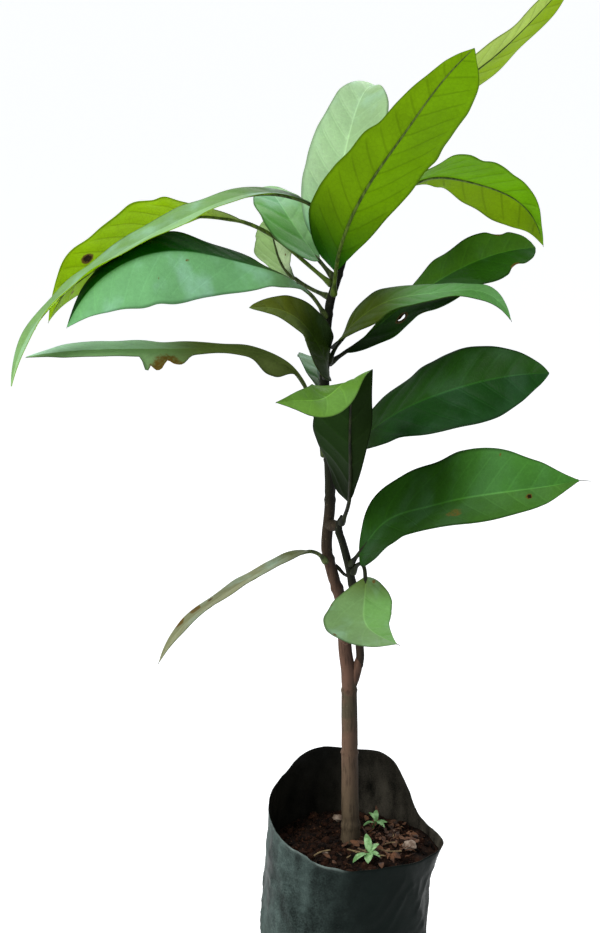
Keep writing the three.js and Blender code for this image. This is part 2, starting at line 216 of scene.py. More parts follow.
# %% A helper for nodes
class Nodes:
    """Adds nodes to one tree."""

    def __init__(self, tree):
        self.tree = tree

    def plug(self, value, socket):
        """Links a socket, or sets a plain value."""
        if isinstance(value, bpy.types.NodeSocket):
            self.tree.links.new(value, socket)
        else:
            socket.default_value = value

    def add(self, kind, inputs=None, **settings):
        """A node's outputs. Settings are made first, then the inputs, by name or by number."""
        node = self.tree.nodes.new(kind)
        for key, value in settings.items():
            setattr(node, key, value)
        for key, value in (inputs or {}).items():
            self.plug(value, node.inputs[key])
        return node.outputs

    def math(self, operation, *values):
        return self.add("ShaderNodeMath", dict(enumerate(values)), operation=operation)[0]

    def times(self, *values):
        return self.math("MULTIPLY", *values)

    def plus(self, *values):
        return self.math("ADD", *values)

    def blend(self, share, first, second, kind="MIX"):
        return self.add("ShaderNodeMix", {0: share, 6: first, 7: second}, data_type="RGBA", blend_type=kind)[2]

    def step(self, value, low, high, start=0.0, end=1.0):
        """A smooth step of a value from low to high, put out as start to end."""
        inputs = dict(enumerate((value, low, high, start, end)))
        return self.add("ShaderNodeMapRange", inputs, interpolation_type="SMOOTHSTEP")[0]

    def noise(self, vector, scale, detail=3.0, stretch=None):
        if stretch is not None:
            vector = self.add("ShaderNodeMapping", {"Scale": stretch, "Vector": vector})["Vector"]
        return self.add("ShaderNodeTexNoise", {"Detail": detail, "Scale": scale, "Vector": vector})[0]

    def scaled(self, vector, gain):
        return self.add("ShaderNodeVectorMath", {0: vector, "Scale": gain}, operation="SCALE")[0]

    def split(self, vector):
        return self.add("ShaderNodeSeparateXYZ", {0: vector})

    def place(self):
        """The point's place on the object, in metres."""
        return self.add("ShaderNodeTexCoord")["Object"]

    def dress(self, colour, roughness, specular, height, distance, strength):
        """Sets the material's shader, with a bump from a height."""
        shader = self.tree.nodes["Principled BSDF"]
        bump = self.add("ShaderNodeBump", {"Strength": strength, "Distance": distance, "Height": height})
        for label, value in {"Base Color": colour, "Roughness": roughness, "Specular IOR Level": specular,
                             "Normal": bump["Normal"]}.items():
            self.plug(value, shader.inputs[label])


# %% [markdown]
# ## A tree of nodes that sweeps a round section
# Stems, leaf stalks and midribs are round limbs that follow a path. They could be curves with a
# bevel. One Geometry Nodes tree is chosen, because it roughens the skin as well: it turns a line
# of points into a curve, sweeps a circle along it that is scaled by the thickness stored at each
# point, and pushes the skin in and out by noise that is drawn out along the height. The result
# is turned into a plain mesh, and the modifier isn't kept.

# %% The sweeping tree
def shaping_tree(name, inputs):
    """A new Geometry Nodes tree's helper, its group's sockets by name, and their identifiers."""
    tree = bpy.data.node_groups.new(name, "GeometryNodeTree")
    tree.interface.new_socket("Geometry", in_out="INPUT", socket_type="NodeSocketGeometry")
    keys = {
        label: tree.interface.new_socket(label, in_out="INPUT", socket_type="NodeSocket" + kind).identifier
        for label, kind in inputs.items()
    }
    tree.interface.new_socket("Geometry", in_out="OUTPUT", socket_type="NodeSocketGeometry")
    nodes = Nodes(tree)
    return nodes, nodes.add("NodeGroupInput"), keys


def sweeping_tree():
    nodes, given, keys = shaping_tree("round_section_along_path", {
        "Sides": "Int", "Relief": "Float", "Grain": "Float", "Finish": "Material"})
    thick = nodes.add("GeometryNodeInputNamedAttribute", {"Name": "thick"}, data_type="FLOAT")["Attribute"]
    curve = nodes.add("GeometryNodeMeshToCurve", {"Mesh": given["Geometry"]})["Curve"]
    circle = nodes.add("GeometryNodeCurvePrimitiveCircle", {
        "Radius": 1.0, "Resolution": given["Sides"]})["Curve"]
    skin = nodes.add("GeometryNodeCurveToMesh", {
        "Curve": curve, "Profile Curve": circle, "Scale": thick, "Fill Caps": True})["Mesh"]
    drawn_out = nodes.add("ShaderNodeVectorMath", {
        0: nodes.add("GeometryNodeInputPosition")["Position"], 1: (1, 1, 0.22)}, operation="MULTIPLY")["Vector"]
    grain = nodes.noise(drawn_out, given["Grain"], 4.0)
    push = nodes.times(nodes.math("SUBTRACT", grain, 0.5), given["Relief"])
    offset = nodes.scaled(nodes.add("GeometryNodeInputNormal")["Normal"], push)
    moved = nodes.add("GeometryNodeSetPosition", {"Geometry": skin, "Offset": offset})["Geometry"]
    smooth = nodes.add("GeometryNodeSetShadeSmooth", {"Geometry": moved})["Geometry"]
    real = nodes.add("GeometryNodeRealizeInstances", {"Geometry": smooth})["Geometry"]
    done = nodes.add("GeometryNodeSetMaterial", {"Geometry": real, "Material": given["Finish"]})["Geometry"]
    nodes.add("NodeGroupOutput", {"Geometry": done})
    return nodes.tree, keys


def baked(name, base, tree, keys, values):
    """The plain mesh that a tree makes from a base object. The base object is removed."""
    modifier = base.modifiers.new("shape", "NODES")
    modifier.node_group = tree
    for label, value in values.items():
        modifier[keys[label]] = value
    result = bpy.data.meshes.new_from_object(base.evaluated_get(bpy.context.evaluated_depsgraph_get()))
    base.modifiers.remove(modifier)
    bpy.data.objects.remove(base)
    result.name = name
    return placed(name, result)


SWEEP, SWEEP_KEYS = sweeping_tree()


def swept(name, points, radii, material, sides, relief, grain=400.0):
    """A round limb along points in mm, with a radius at each."""
    mesh = bpy.data.meshes.new(name)
    mesh.from_pydata((np.asarray(points) * MM).tolist(), [(i, i + 1) for i in range(len(points) - 1)], [])
    mesh.attributes.new("thick", "FLOAT", "POINT").data.foreach_set("value", np.asarray(radii) * MM)
    return baked(name, placed(name, mesh), SWEEP, SWEEP_KEYS, {
        "Sides": sides, "Relief": relief * MM, "Grain": grain, "Finish": material,
    })


print("tree ready:", SWEEP.name, list(SWEEP_KEYS))

# %% [markdown]
# ## Stems
# The sapling has one slim stem, with a side shoot that leaves it at a low fork and the bare
# stalk of a lost leaf between the two. Their lines could be curves drawn by eye. A table for
# each is chosen, of heights above the soil with the place of the middle and the radius, because
# the solids use the same tables and the same cubic curve through their rows.

# %% The stems' lines
SOIL_LEVEL = 180
MAIN_STEM = [
    [0, 14, 0, 5.0], [7, 14, 0, 4.5], [22, 13.5, 0, 4.2], [60, 13, 0, 3.9], [84, 12.5, 0, 3.6],
    [94, 11, 0, 3.3], [118, 9, 0, 2.9], [134, 4.5, 0, 2.8], [146, 2, 0, 2.7], [166, 3.5, 1, 2.6],
    [190, 3, 1, 2.5], [214, 1, 1, 2.4], [236, 1, 1, 2.3], [258, 3, 1, 2.1], [272, 7, 2, 1.9],
    [292, 13, 4, 1.3],
]
SIDE_SHOOT = [
    [85, 16.4, -0.2, 1.5], [88.5, 17.4, -0.4, 1.8], [93, 17.8, -0.9, 1.9], [99, 17.4, -1.7, 1.9],
    [109, 16.9, -2.9, 1.9], [122, 15.0, -4.2, 1.9], [136, 12.6, -5.5, 1.9], [149, 9.4, -6.6, 1.8],
    [156, 7.4, -7.2, 1.7], [163, 8.6, -7.6, 1.4],
]
STUB = [[135.2, 7.9, 0.2, 0.9], [133.6, 9.3, -0.5, 0.8], [132.8, 10.5, -1.5, 0.75], [132.5, 11.6, -2.4, 0.65]]


def stem_at(table, height):
    """(x, y, z, radius) of a stem at a height above the soil."""
    rows = np.asarray(table, dtype=float)
    last = len(rows) - 1
    height = float(np.clip(height, rows[0, 0], rows[-1, 0]))
    i = int(np.clip(np.searchsorted(rows[:, 0], height, side="right") - 1, 0, last - 1))

    def slope(k):
        low, high = rows[max(k - 1, 0)], rows[min(k + 1, last)]
        return (high[1:] - low[1:]) / (high[0] - low[0])

    span = rows[i + 1, 0] - rows[i, 0]
    u = (height - rows[i, 0]) / span
    x, y, radius = cubic(rows[i, 1:], rows[i + 1, 1:], slope(i) * span, slope(i + 1) * span, u)
    return np.array([x, y, SOIL_LEVEL + height, radius])


def stem_line(table, count):
    """Shares along a stem's rows, spread evenly, with a point and a radius at each."""
    share = np.linspace(0, 1, count)
    height, x, y, radius = (along([row[k] for row in table], share) for k in range(4))
    return share, np.stack([x, y, SOIL_LEVEL + height], -1), radius


print("main stem halfway:", stem_at(MAIN_STEM, 146).round(2))

# %% [markdown]
# ## Bark
# The real bark is olive grey at the foot, reddish brown at the fork and nearly black-green in
# the youngest wood, with one darker olive band just below the fork. An image could carry that,
# but would blur close up. A node group gives the change with height, dark cracks that run along
# the stem, and pale specks. It also paints shade into the colour: the colour darkens as the
# surface turns to the right, away from the key lamp.

# %% The bark's colours
COLOUR, NUMBER = "NodeSocketColor", "NodeSocketFloat"
FORK_HEIGHT, YOUNG_HEIGHT = 0.27, 0.38
OLIVE_BAND = (0.249, 0.259, 0.267, 0.275)
CRACK_COLOUR = (0.006, 0.004, 0.003, 1)


def screen_colour(red, green, blue):
    """A colour as a screen shows it, 0 to 255, as the linear values that a shader takes."""
    share = [c / 255 for c in (red, green, blue)]
    return tuple(c / 12.92 if c <= 0.04045 else ((c + 0.055) / 1.055) ** 2.4 for c in share) + (1.0,)


def shader_group(name, inputs):
    """A new shader group's helper and its inputs' sockets, from {label: (kind, value)}."""
    group = bpy.data.node_groups.new(name, "ShaderNodeTree")
    for label, (kind, value) in inputs.items():
        group.interface.new_socket(label, in_out="INPUT", socket_type=kind).default_value = value
    nodes = Nodes(group)
    return nodes, nodes.add("NodeGroupInput")


def put_out(nodes, results):
    """Ends a shader group with its outputs, from {label: (kind, socket)}. Returns the group."""
    for label, (kind, _) in results.items():
        nodes.tree.interface.new_socket(label, in_out="OUTPUT", socket_type=kind)
    nodes.add("NodeGroupOutput", {label: socket for label, (_, socket) in results.items()})
    return nodes.tree


def material(name):
    """A new material and the helper for its nodes."""
    made = bpy.data.materials.new(name)
    made.use_nodes = True
    return made, Nodes(made.node_tree)


def bark_group():
    """Colour by height above the ground, broken by cracks and specks, with painted shade to the right."""
    nodes, given = shader_group("bark_colours", {
        "Foot": (COLOUR, screen_colour(104, 90, 70)), "Fork": (COLOUR, screen_colour(106, 78, 64)),
        "Below fork": (COLOUR, screen_colour(80, 71, 54)), "Young wood": (COLOUR, screen_colour(24, 28, 14)),
        "Fork height": (NUMBER, FORK_HEIGHT), "Young height": (NUMBER, YOUNG_HEIGHT)})
    place = nodes.place()
    height = nodes.plus(nodes.split(place)[2], nodes.times(nodes.noise(place, 90.0), 0.03))
    base = nodes.blend(nodes.step(height, 0.20, given["Fork height"]), given["Foot"], given["Fork"])
    start, full, leave, end = OLIVE_BAND
    olive = nodes.times(nodes.step(height, start, full), nodes.step(height, leave, end, 1.0, 0.0))
    base = nodes.blend(olive, base, given["Below fork"])
    to_young = nodes.step(height, given["Fork height"], given["Young height"])
    base = nodes.blend(to_young, base, given["Young wood"])
    grain = nodes.noise(place, 900.0, 4.0, stretch=(1, 1, 0.12))
    base = nodes.blend(nodes.step(grain, 0.35, 0.5, 0.45, 0.0), base, CRACK_COLOUR)
    fine = nodes.noise(place, 1500.0, 1.0, stretch=(1, 1, 0.5))
    base = nodes.blend(nodes.step(fine, 0.66, 0.76, 0.0, 0.22), base, screen_colour(150, 132, 104))
    # Painted shade: the colour darkens as the surface turns to the right, away from the key lamp.
    facing_right = nodes.split(nodes.add("ShaderNodeNewGeometry")["Normal"])[0]
    base = nodes.blend(1.0, base, nodes.step(facing_right, -0.9, 0.9, 1.2, 0.28), "MULTIPLY")
    return put_out(nodes, {"Colour": (COLOUR, base), "Cracks": (NUMBER, nodes.step(grain, 0.42, 0.60))})


BARK_COLOURS = bark_group()


def bark_material(name, **colours):
    made, nodes = material(name)
    bark = nodes.add("ShaderNodeGroup", {label.replace("_", " "): value for label, value in colours.items()},
                     node_tree=BARK_COLOURS)
    nodes.dress(bark["Colour"], 0.72, 0.15, bark["Cracks"], 0.0003, 0.6)
    return made


MAIN_BARK = bark_material("main_bark")
SHOOT_BARK = bark_material("shoot_bark", Foot=screen_colour(64, 42, 33), Fork=screen_colour(56, 42, 32),
                           Below_fork=screen_colour(60, 42, 32), Young_height=0.34)
print("bark materials:", MAIN_BARK.name, SHOOT_BARK.name)

# %% [markdown]
# ## The stems' relief
# The main stem swells at its foot, and has a ring about every 40 mm where an old leaf fell. A
# ring could be bump in the material, but it shows in the stem's outline, so the radius itself
# grows, and dips just above. A small bud sits high on the stem. A collar closes the gap where
# the side shoot leaves the fork, and a knot ties the shoot's upper end to the main stem again.
# They belong to this piece and not to the solids, which have to stay clear of one another.

# %% Stems
MAIN_RINGS = [  # height, swelling, half width
    (8, 0.4, 1.6), (45, 0.45, 0.9), (76, 0.3, 1.0), (104, 0.4, 1.0), (126, 0.35, 1.2), (140, 0.4, 1.1),
    (168, 0.3, 1.0), (187, 0.35, 1.1), (212, 0.3, 1.0), (233, 0.3, 1.0), (254, 0.25, 0.9), (272, 0.25, 0.9),
]
SHOOT_LENGTH, SHOOT_RING_EVERY, SHOOT_RING_AT = 78, 19.5, 9
BUD = [(11.6, -3.0, 280.5), (8.6, -4.6, 283.5), (6.8, -5.4, 286.5), (6.4, -5.6, 288.5)]
COLLAR = [(12.6, 0, 254), (13.6, 0, 258), (14.9, -0.1, 262), (16.1, -0.3, 266), (17.0, -0.5, 269.5),
          (17.5, -0.7, 272)]
KNOT_RADII = [2.4, 2.6, 2.8, 2.7, 2.4, 2.0, 1.2]
STUB_ENDS = [(6.0, 0.6, 316.6)], [(12.6, -3.8, 312.4)]

heights = np.arange(MAIN_STEM[0][0], MAIN_STEM[-1][0] + 0.01, 0.8)
rows = np.array([stem_at(MAIN_STEM, h) for h in heights])
radii = rows[:, 3] - 0.1
for height, swelling, width in MAIN_RINGS:
    radii = radii + swelling * np.exp(-(((heights - height) / width) ** 2))
    radii = radii - 0.5 * swelling * np.exp(-(((heights - height - 2.2 * width) / width) ** 2))
radii[-1] *= 0.7
knot_way = np.linspace(0, 1, len(KNOT_RADII))[:, None]
knot_line = stem_at(MAIN_STEM, 156)[:3] * (1 - knot_way) + stem_at(SIDE_SHOOT, 158)[:3] * knot_way
main_stem = join("main_stem_bark", [
    swept("main_stem_bark", rows[:, :3], radii, MAIN_BARK, 28, 0.55, 260.0),
    swept("bud", BUD, [1.6, 1.5, 1.0, 0.2], MAIN_BARK, 12, 0.3),
    swept("collar", COLLAR, [2.0, 2.6, 2.7, 2.5, 2.15, 1.7], MAIN_BARK, 20, 0.4, 300.0),
    swept("knot", knot_line, KNOT_RADII, MAIN_BARK, 16, 0.35, 300.0),
])
share, line, radius = stem_line(SIDE_SHOOT, 110)
rings = 0.22 * np.exp(-((((share * SHOOT_LENGTH) % SHOOT_RING_EVERY - SHOOT_RING_AT) / 0.9) ** 2))
side_shoot = swept("side_shoot_bark", line, (radius + rings) * (1 - 0.65 * ramp(0.93, 1.0, share)), SHOOT_BARK,
                   22, 0.4, 300.0)
share, line, radius = stem_line(STUB, 16)
stalk_stub = swept("stalk_stub_bark", np.vstack([STUB_ENDS[0], line, STUB_ENDS[1]]), [1.1, *radius, 0.7],
                   SHOOT_BARK, 12, 0.25, 500.0)
for piece, node in ((main_stem, "main_stem"), (side_shoot, "side_shoot"), (stalk_stub, "stalk_stub")):
    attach(piece, "root")
    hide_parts(node)
    print(piece.name, "faces:", len(piece.data.polygons))

# %% [markdown]
# ## The leaves' rule
# A nutmeg leaf is a long oval on a short stalk. One modelled leaf could be copied, but each of
# these nineteen bends, twists and ends in its own way, so each has a row of sizes in one table,
# and one rule grows them all. A leaf starts at the side of its stem with a stalk. Its midrib then
# follows the bearings and rises, in degrees, that are named from the stem to the tip. The
# halves of the blade swell and close again round the share of the length where each is widest.
# The first number of a pair is for the left half, the second for the right.
#
# A row also names the kind of leaf by its tone, the stem that it grows on, the height in mm above
# the soil at which it does, its stalk and length in mm, and how steeply it folds. Upper and lower
# are three colours each, as a screen shows them: the foot's, the left half's and the right half's.
# They hold painted light and shade: the foot is mostly darker, as painted shade where the leaves
# crowd round the stem, and the two halves differ by how the light falls on each.
#
# Old leaves are worn, so a row may name more. Half is 1 for the left one and -1 for the right:
# - end, blunt: the share of the length where a blunt blade ends, and the share that it rounds off
# - drip: the length in mm of a drawn-out tip
# - swell: how much wider the blade is near its tip
# - trims and bites: (half, share of the length, depth, spread), in mm. A bite of less than 0 is
#   a flap that hangs down.
# - holes: (share of the half, share of the length, radius), and dead patches with a strength
# - ruffle: the height in mm of the margin's waves
# - reach: the share of the length where the colour of the foot, mostly painted shade, has faded
# - gloss: the shine of the upper side, and sheens: its painted pale sky reflection on each half

# %% The leaves
LEAVES = {
    "leaf_great_front": dict(
        tone="young", on="main", at=264, stalk=11, length=128, half=[24.5, 20], belly=[0.55, 0.15],
        bearing=[-82, -54, -38, -28, -48], rise=[67, 59, 51, 52, 34], roll=[-55, -40, -70], fold=20,
        upper=[(52, 92, 20), (96, 140, 30), (96, 140, 30)],
        lower=[(25, 79, 4), (106, 150, 4), (101, 139, 4)],
        end=0.98, blunt=0.07, swell=0.1),
    "leaf_top_right": dict(
        tone="young", on="main", at=291, stalk=10, length=146, half=[21.5, 17], belly=[0.61, 0.48],
        bearing=[27, 20, 7, 19, 2], rise=[64, 58, 35, 42, 49], roll=[-25, -29, -41], fold=1,
        upper=[(70, 120, 30), (120, 165, 60), (120, 165, 60)],
        lower=[(90, 140, 20), (132, 165, 6), (164, 191, 84)],
        ruffle=0.5),
    "leaf_top_back": dict(
        tone="pale", on="main", at=273, stalk=9, length=108, half=[17, 17.5], belly=[0.31, 0.57],
        bearing=[111, 68, 67, 61], rise=[70, 63, 60, 33, -39], roll=[-7, 11, 7], fold=21,
        upper=[(120, 185, 130), (186, 222, 169), (163, 199, 143)],
        lower=[(110, 150, 90), (140, 176, 110), (140, 176, 110)],
        ruffle=0.7, end=0.94, blunt=0.12, trims=[(-1, 0.88, 8.0, 14.0)]),
    "leaf_back_left_upper": dict(
        tone="pale", on="main", at=271, stalk=9, length=60, half=[17, 12], belly=[0.31, 0.49],
        bearing=[161, 135, 117, 106], rise=[47, 43, 30, -5], roll=[-6, 3, -7], fold=4,
        upper=[(124, 178, 116), (98, 164, 74), (142, 191, 125)],
        lower=[(100, 140, 80), (130, 160, 100), (130, 160, 100)]),
    "leaf_back_left_lower": dict(
        tone="pale", on="main", at=262, stalk=19, length=32.5, half=[10.5, 16.5], belly=[0.44, 0.38],
        bearing=[136, 152, 177, 186], rise=[10, 30, 73, 73], roll=[1, 37, 51], fold=4,
        upper=[(60, 110, 50), (80, 130, 60), (80, 130, 60)],
        lower=[(73, 88, 66), (199, 222, 172), (151, 184, 118)],
        dead=[(0.5, 0.4, 0.8, 0.7)]),
    "leaf_right_arching": dict(
        tone="young", on="main", at=283, stalk=18, length=114, half=[16.5, 27], belly=[0.75, 0.2],
        bearing=[-8, 45, 34, 22, -34], rise=[53, 31, -8, -24, -78], roll=[-53, -32, -55], fold=-7,
        upper=[(70, 120, 20), (90, 140, 30), (90, 140, 30)],
        lower=[(92, 140, 10), (113, 148, 4), (105, 161, 4)],
        ruffle=0.7),
    "leaf_left_broad": dict(
        tone="pale", on="main", at=254, stalk=12, length=130, half=[25, 19], belly=[0.61, 0.54],
        bearing=[-131, -159, -159, -170, -173], rise=[54, 20, 11, -28, -65], roll=[-12, -36, -26], fold=-18,
        upper=[(84, 104, 60), (112, 170, 112), (12, 70, 4)],
        lower=[(110, 150, 90), (130, 160, 110), (130, 160, 110)],
        ruffle=0.7, gloss=0.02, sheens=(0.32, 0.0), dead=[(0.2, 0.5, 1.0, 0.8), (0.5, 0.62, 0.8, 0.7)]),
    "leaf_left_arching": dict(
        tone="pale", on="main", at=281, stalk=26, length=171, half=[11.5, 13], belly=[0.51, 0.48],
        bearing=[-150, -163, -164, -164, -157], rise=[77, 23, -16, -25, -32, -50, -79],
        roll=[1, -7, -6, -6, 4, 3, -19], fold=9,
        upper=[(5, 35, 4), (152, 198, 130), (126, 170, 98)],
        lower=[(4, 70, 4), (173, 225, 16), (60, 100, 30)],
        ruffle=0.4),
    "leaf_left_outer": dict(
        tone="young", on="main", at=268, stalk=48, length=107, half=[21.5, 22.5], belly=[0.47, 0.61],
        bearing=[167, 167, 179, 175, 204, 193, 215], rise=[38, 37, 13, -10, -32, -40, -64],
        roll=[0, 12, 38, 46], fold=9,
        upper=[(60, 100, 20), (90, 140, 40), (90, 140, 40)],
        lower=[(110, 131, 64), (161, 205, 9), (130, 170, 34)],
        holes=[(0.36, 0.7, 1.5)], dead=[(0.36, 0.7, 2.0, 0.8), (-0.3, 0.84, 1.5, 0.7)]),
    "leaf_left_level": dict(
        tone="pale", on="main", at=190, stalk=26, length=139, half=[16.5, 16], belly=[0.54, 0.58],
        bearing=[-150, -164, -166, -170, -168], rise=[76, 71, 21, 3, 2, -1, -8], roll=[-25, 0, -10], fold=2,
        upper=[(98, 112, 58), (134, 174, 118), (186, 226, 194)],
        lower=[(74, 86, 53), (84, 104, 60), (84, 104, 60)],
        ruffle=0.35, gloss=0.0, sheens=(0.0, 0.0), reach=0.74,
        bites=[(1, 0.215, -6.0, 9.0), (1, 0.54, -4.0, 4.5), (1, 0.6, -6.0, 3.2), (1, 0.635, -5.5, 1.6)],
        dead=[(1.25, 0.575, 9.0, 0.66), (1.35, 0.635, 3.2, 1.0), (1.3, 0.55, 2.6, 1.05)]),
    "leaf_right_notched": dict(
        tone="deep", on="main", at=232, stalk=8, length=108, half=[14.5, 24], belly=[0.71, 0.48],
        bearing=[13, 5, 18, 17], rise=[32, 40, 31, 15, -2], roll=[31, 19, 38], fold=10,
        upper=[(24, 46, 12), (66, 110, 26), (40, 84, 16)],
        lower=[(90, 120, 70), (100, 130, 80), (100, 130, 80)],
        end=0.95, gloss=0.02, bites=[(1, 0.82, 2.2, 3.5), (-1, 0.8, 2.5, 4.0), (-1, 0.35, 1.5, 4.0)],
        holes=[(-0.49, 0.275, 2.1)], dead=[(-0.49, 0.275, 3.2, 0.9)]),
    "leaf_right_keeled": dict(
        tone="deep", on="main", at=233, stalk=7, length=94, half=[13, 17], belly=[0.33, 0.31],
        bearing=[-43, -5, -14, -17, -20], rise=[63, 41, 10, 3, -65], roll=[6, 17, 9, 30], fold=5,
        upper=[(60, 76, 14), (98, 152, 84), (86, 142, 70)],
        lower=[(7, 18, 4), (60, 84, 26), (60, 84, 26)],
        ruffle=0.5, gloss=0.02, reach=0.6),
    "leaf_front_left": dict(
        tone="deep", on="main", at=226, stalk=5, length=65, half=[14.5, 13.5], belly=[0.37, 0.3],
        bearing=[-77, -137, -136, -157], rise=[34, 56, 27, -1], roll=[-87, -55, -30], fold=11,
        upper=[(34, 50, 10), (84, 98, 34), (78, 88, 22)],
        lower=[(70, 90, 40), (84, 104, 50), (84, 104, 50)],
        ruffle=0.6, end=0.98, gloss=0.02, reach=0.7),
    "leaf_front_folded": dict(
        tone="deep", on="shoot", at=160, stalk=14, length=118, half=[12, 17], belly=[0.57, 0.24],
        bearing=[-64, -85, -101, -90, -120, -128, -137], rise=[51, 63, 77, 76, -15, 9, 2],
        roll=[-46, -45, 2, 29, -45, -71], fold=6,
        upper=[(40, 66, 20), (104, 150, 54), (90, 134, 40)],
        lower=[(18, 28, 10), (22, 38, 10), (26, 48, 14)],
        ruffle=0.7),
    "leaf_right_middle": dict(
        tone="deep", on="main", at=187, stalk=3, length=108, half=[21.5, 22.5], belly=[0.52, 0.55],
        bearing=[-14, -21, -4, -8], rise=[43, 37, 23, 13, 1], roll=[40, 36, 68], fold=0,
        upper=[(35, 42, 4), (29, 70, 9), (17, 61, 10)],
        lower=[(70, 100, 60), (90, 120, 80), (90, 120, 80)],
        ruffle=0.6, end=0.98),
    "leaf_right_lower": dict(
        tone="deep", on="shoot", at=140, stalk=8, length=116, half=[23, 26], belly=[0.52, 0.31],
        bearing=[-50, -34, -25, -40, -14, -7, -5], rise=[48, 52, 21, 21, 12, 10, 14],
        roll=[71, 40, 44, 74], fold=21,
        upper=[(32, 68, 14), (64, 116, 44), (70, 116, 44)],
        lower=[(60, 90, 50), (80, 110, 70), (80, 110, 70)],
        ruffle=0.6, drip=7.0, gloss=0.02, reach=0.75,
        dead=[(-0.16, 0.81, 1.5, 1.1), (0.72, 0.72, 0.8, 0.9), (-0.43, 0.55, 4.0, 0.55)]),
    "leaf_front_drooping": dict(
        tone="pale", on="shoot", at=136, stalk=17, length=48, half=[13, 18.5], belly=[0.36, 0.52],
        bearing=[-45, -87, -95, -61, -34], rise=[66, -53, -33, -11, -8], roll=[-5, 5, 13], fold=5,
        upper=[(84, 106, 42), (119, 170, 92), (124, 162, 100)],
        lower=[(90, 120, 70), (100, 130, 80), (100, 130, 80)],
        ruffle=0.5, dead=[(-0.9, 0.62, 1.0, 0.8), (0.3, 0.05, 1.0, 0.8), (-0.8, 0.3, 0.7, 0.7)]),
    "leaf_left_low": dict(
        tone="pale", on="main", at=140, stalk=12, length=90, half=[12, 8.5], belly=[0.51, 0.48],
        bearing=[-123, -165, -173, -157], rise=[45, -19, -31, -39, -63], roll=[0, 4, -1], fold=7,
        upper=[(64, 75, 25), (140, 143, 105), (127, 130, 94)],
        lower=[(80, 90, 50), (100, 110, 70), (100, 110, 70)],
        ruffle=0.35, dead=[(-0.6, 0.69, 3.2, 0.75), (-0.62, 0.79, 3.4, 0.75), (-0.5, 0.6, 1.6, 0.9)]),
    "leaf_back_short": dict(
        tone="pale", on="main", at=212, stalk=8, length=76, half=[8, 7], belly=[0.5, 0.5],
        bearing=[100, 92, 88], rise=[35, 0, -20], roll=[0, 0, 0], fold=14,
        upper=[(44, 63, 34), (75, 124, 68), (89, 119, 101)],
        lower=[(100, 130, 100), (120, 150, 120), (120, 150, 120)]),
}
PATH_STEPS, CLEAR, STALK_RADIUS = 120, 0.3, 1.1
UNWORN = dict(end=1.0, blunt=0.04, drip=2.5, swell=0.0, trims=[], bites=[], holes=[], dead=[], ruffle=1.0,
              reach=0.32, gloss=0.12)
SHEENS = {"young": (0.0, 0.0), "deep": (0.025, 0.025), "pale": (0.32, 0.32)}
for name, leaf in LEAVES.items():
    pairs = max(5, round(leaf["length"] / 11))
    LEAVES[name] = {**UNWORN, "pairs": pairs, "sheens": SHEENS[leaf["tone"]], **leaf}
print("leaves:", len(LEAVES), "longest blade:", max(leaf["length"] for leaf in LEAVES.values()), "mm")


# %% [markdown]
# ## From the stem to the tip
# A real stalk leaves the side of its stem, and the midrib runs on from it, bends down under the
# blade's weight and rolls a little. The path could be drawn by eye in the viewport. It is
# stepped instead from the row's bearings, rises and rolls, in the same small steps as the
# solid's, so the blade and its solid cannot part.

# %% The midrib's line
def leaf_line(leaf):
    """Points along stalk and midrib, with the way to the left and the upper side's way."""
    table = MAIN_STEM if leaf["on"] == "main" else SIDE_SHOOT
    foot, toward = stem_at(table, leaf["at"]), math.radians(leaf["bearing"][0])
    out = np.array([math.cos(toward), math.sin(toward)])
    beside = [stem_at(table, leaf["at"] + k * STALK_RADIUS) for k in (-1, 0, 1)]
    reach = max(float((s[:2] - foot[:2]) @ out) + s[3] for s in beside) + CLEAR + 0.05
    t = np.linspace(0, 1, PATH_STEPS + 1)
    bearing, rise, roll = (np.radians(along(leaf[row], t)) for row in ("bearing", "rise", "roll"))
    ahead = np.stack([np.cos(rise) * np.cos(bearing), np.cos(rise) * np.sin(bearing), np.sin(rise)], 1)
    level = np.stack([-np.sin(bearing), np.cos(bearing), 0 * bearing], 1)
    upright = np.cross(ahead, level)
    left = level * np.cos(roll)[:, None] + upright * np.sin(roll)[:, None]
    up = upright * np.cos(roll)[:, None] - level * np.sin(roll)[:, None]
    step = (leaf["stalk"] + leaf["length"]) / PATH_STEPS
    start = foot[:3] + np.array([reach * out[0], reach * out[1], 0])
    points = start + np.vstack([np.zeros(3), np.cumsum(ahead[:-1] * step, 0)])
    return points, left, up


def line_at(line, leaf, distance):
    """The line's point, left and up at distances in mm from the stem."""
    x = np.asarray(distance) / (leaf["stalk"] + leaf["length"]) * PATH_STEPS
    steps = np.arange(PATH_STEPS + 1)
    return [np.stack([np.interp(x, steps, row[:, k]) for k in range(3)], -1) for row in line]


def half_share(t, belly):
    """How wide one half is at t, as a share of its widest."""
    body = np.sin(np.pi * np.clip(t, 0, 1) ** (math.log(0.5) / math.log(belly))) ** 0.8
    return np.maximum(body * (1 - 0.25 * ramp(0.86, 1.0, t)), 0.02)


# %% [markdown]
# ## A leaf's blade
# The real blade is leathery, with grooves over its veins and a wavy margin, and old ones are
# bitten. A flat sheet with bump and a cut-out mask would do from afar. Real points are chosen,
# so that the outline holds from every side. A blade is a grid: t goes along the midrib from 0 to
# 1, and u from -1 at the right margin to 1 at the left one. Its width comes first, with what is
# worn off, and its relief next.

# %% The blade's width and relief
STATIONS, ACROSS, SHEET = 120, 33, 0.5
LEAST_WIDTH = 0.5
VEIN_GROOVE, VEIN_BULGE, WAVE_LENGTH = 0.3, 0.2, 27.0


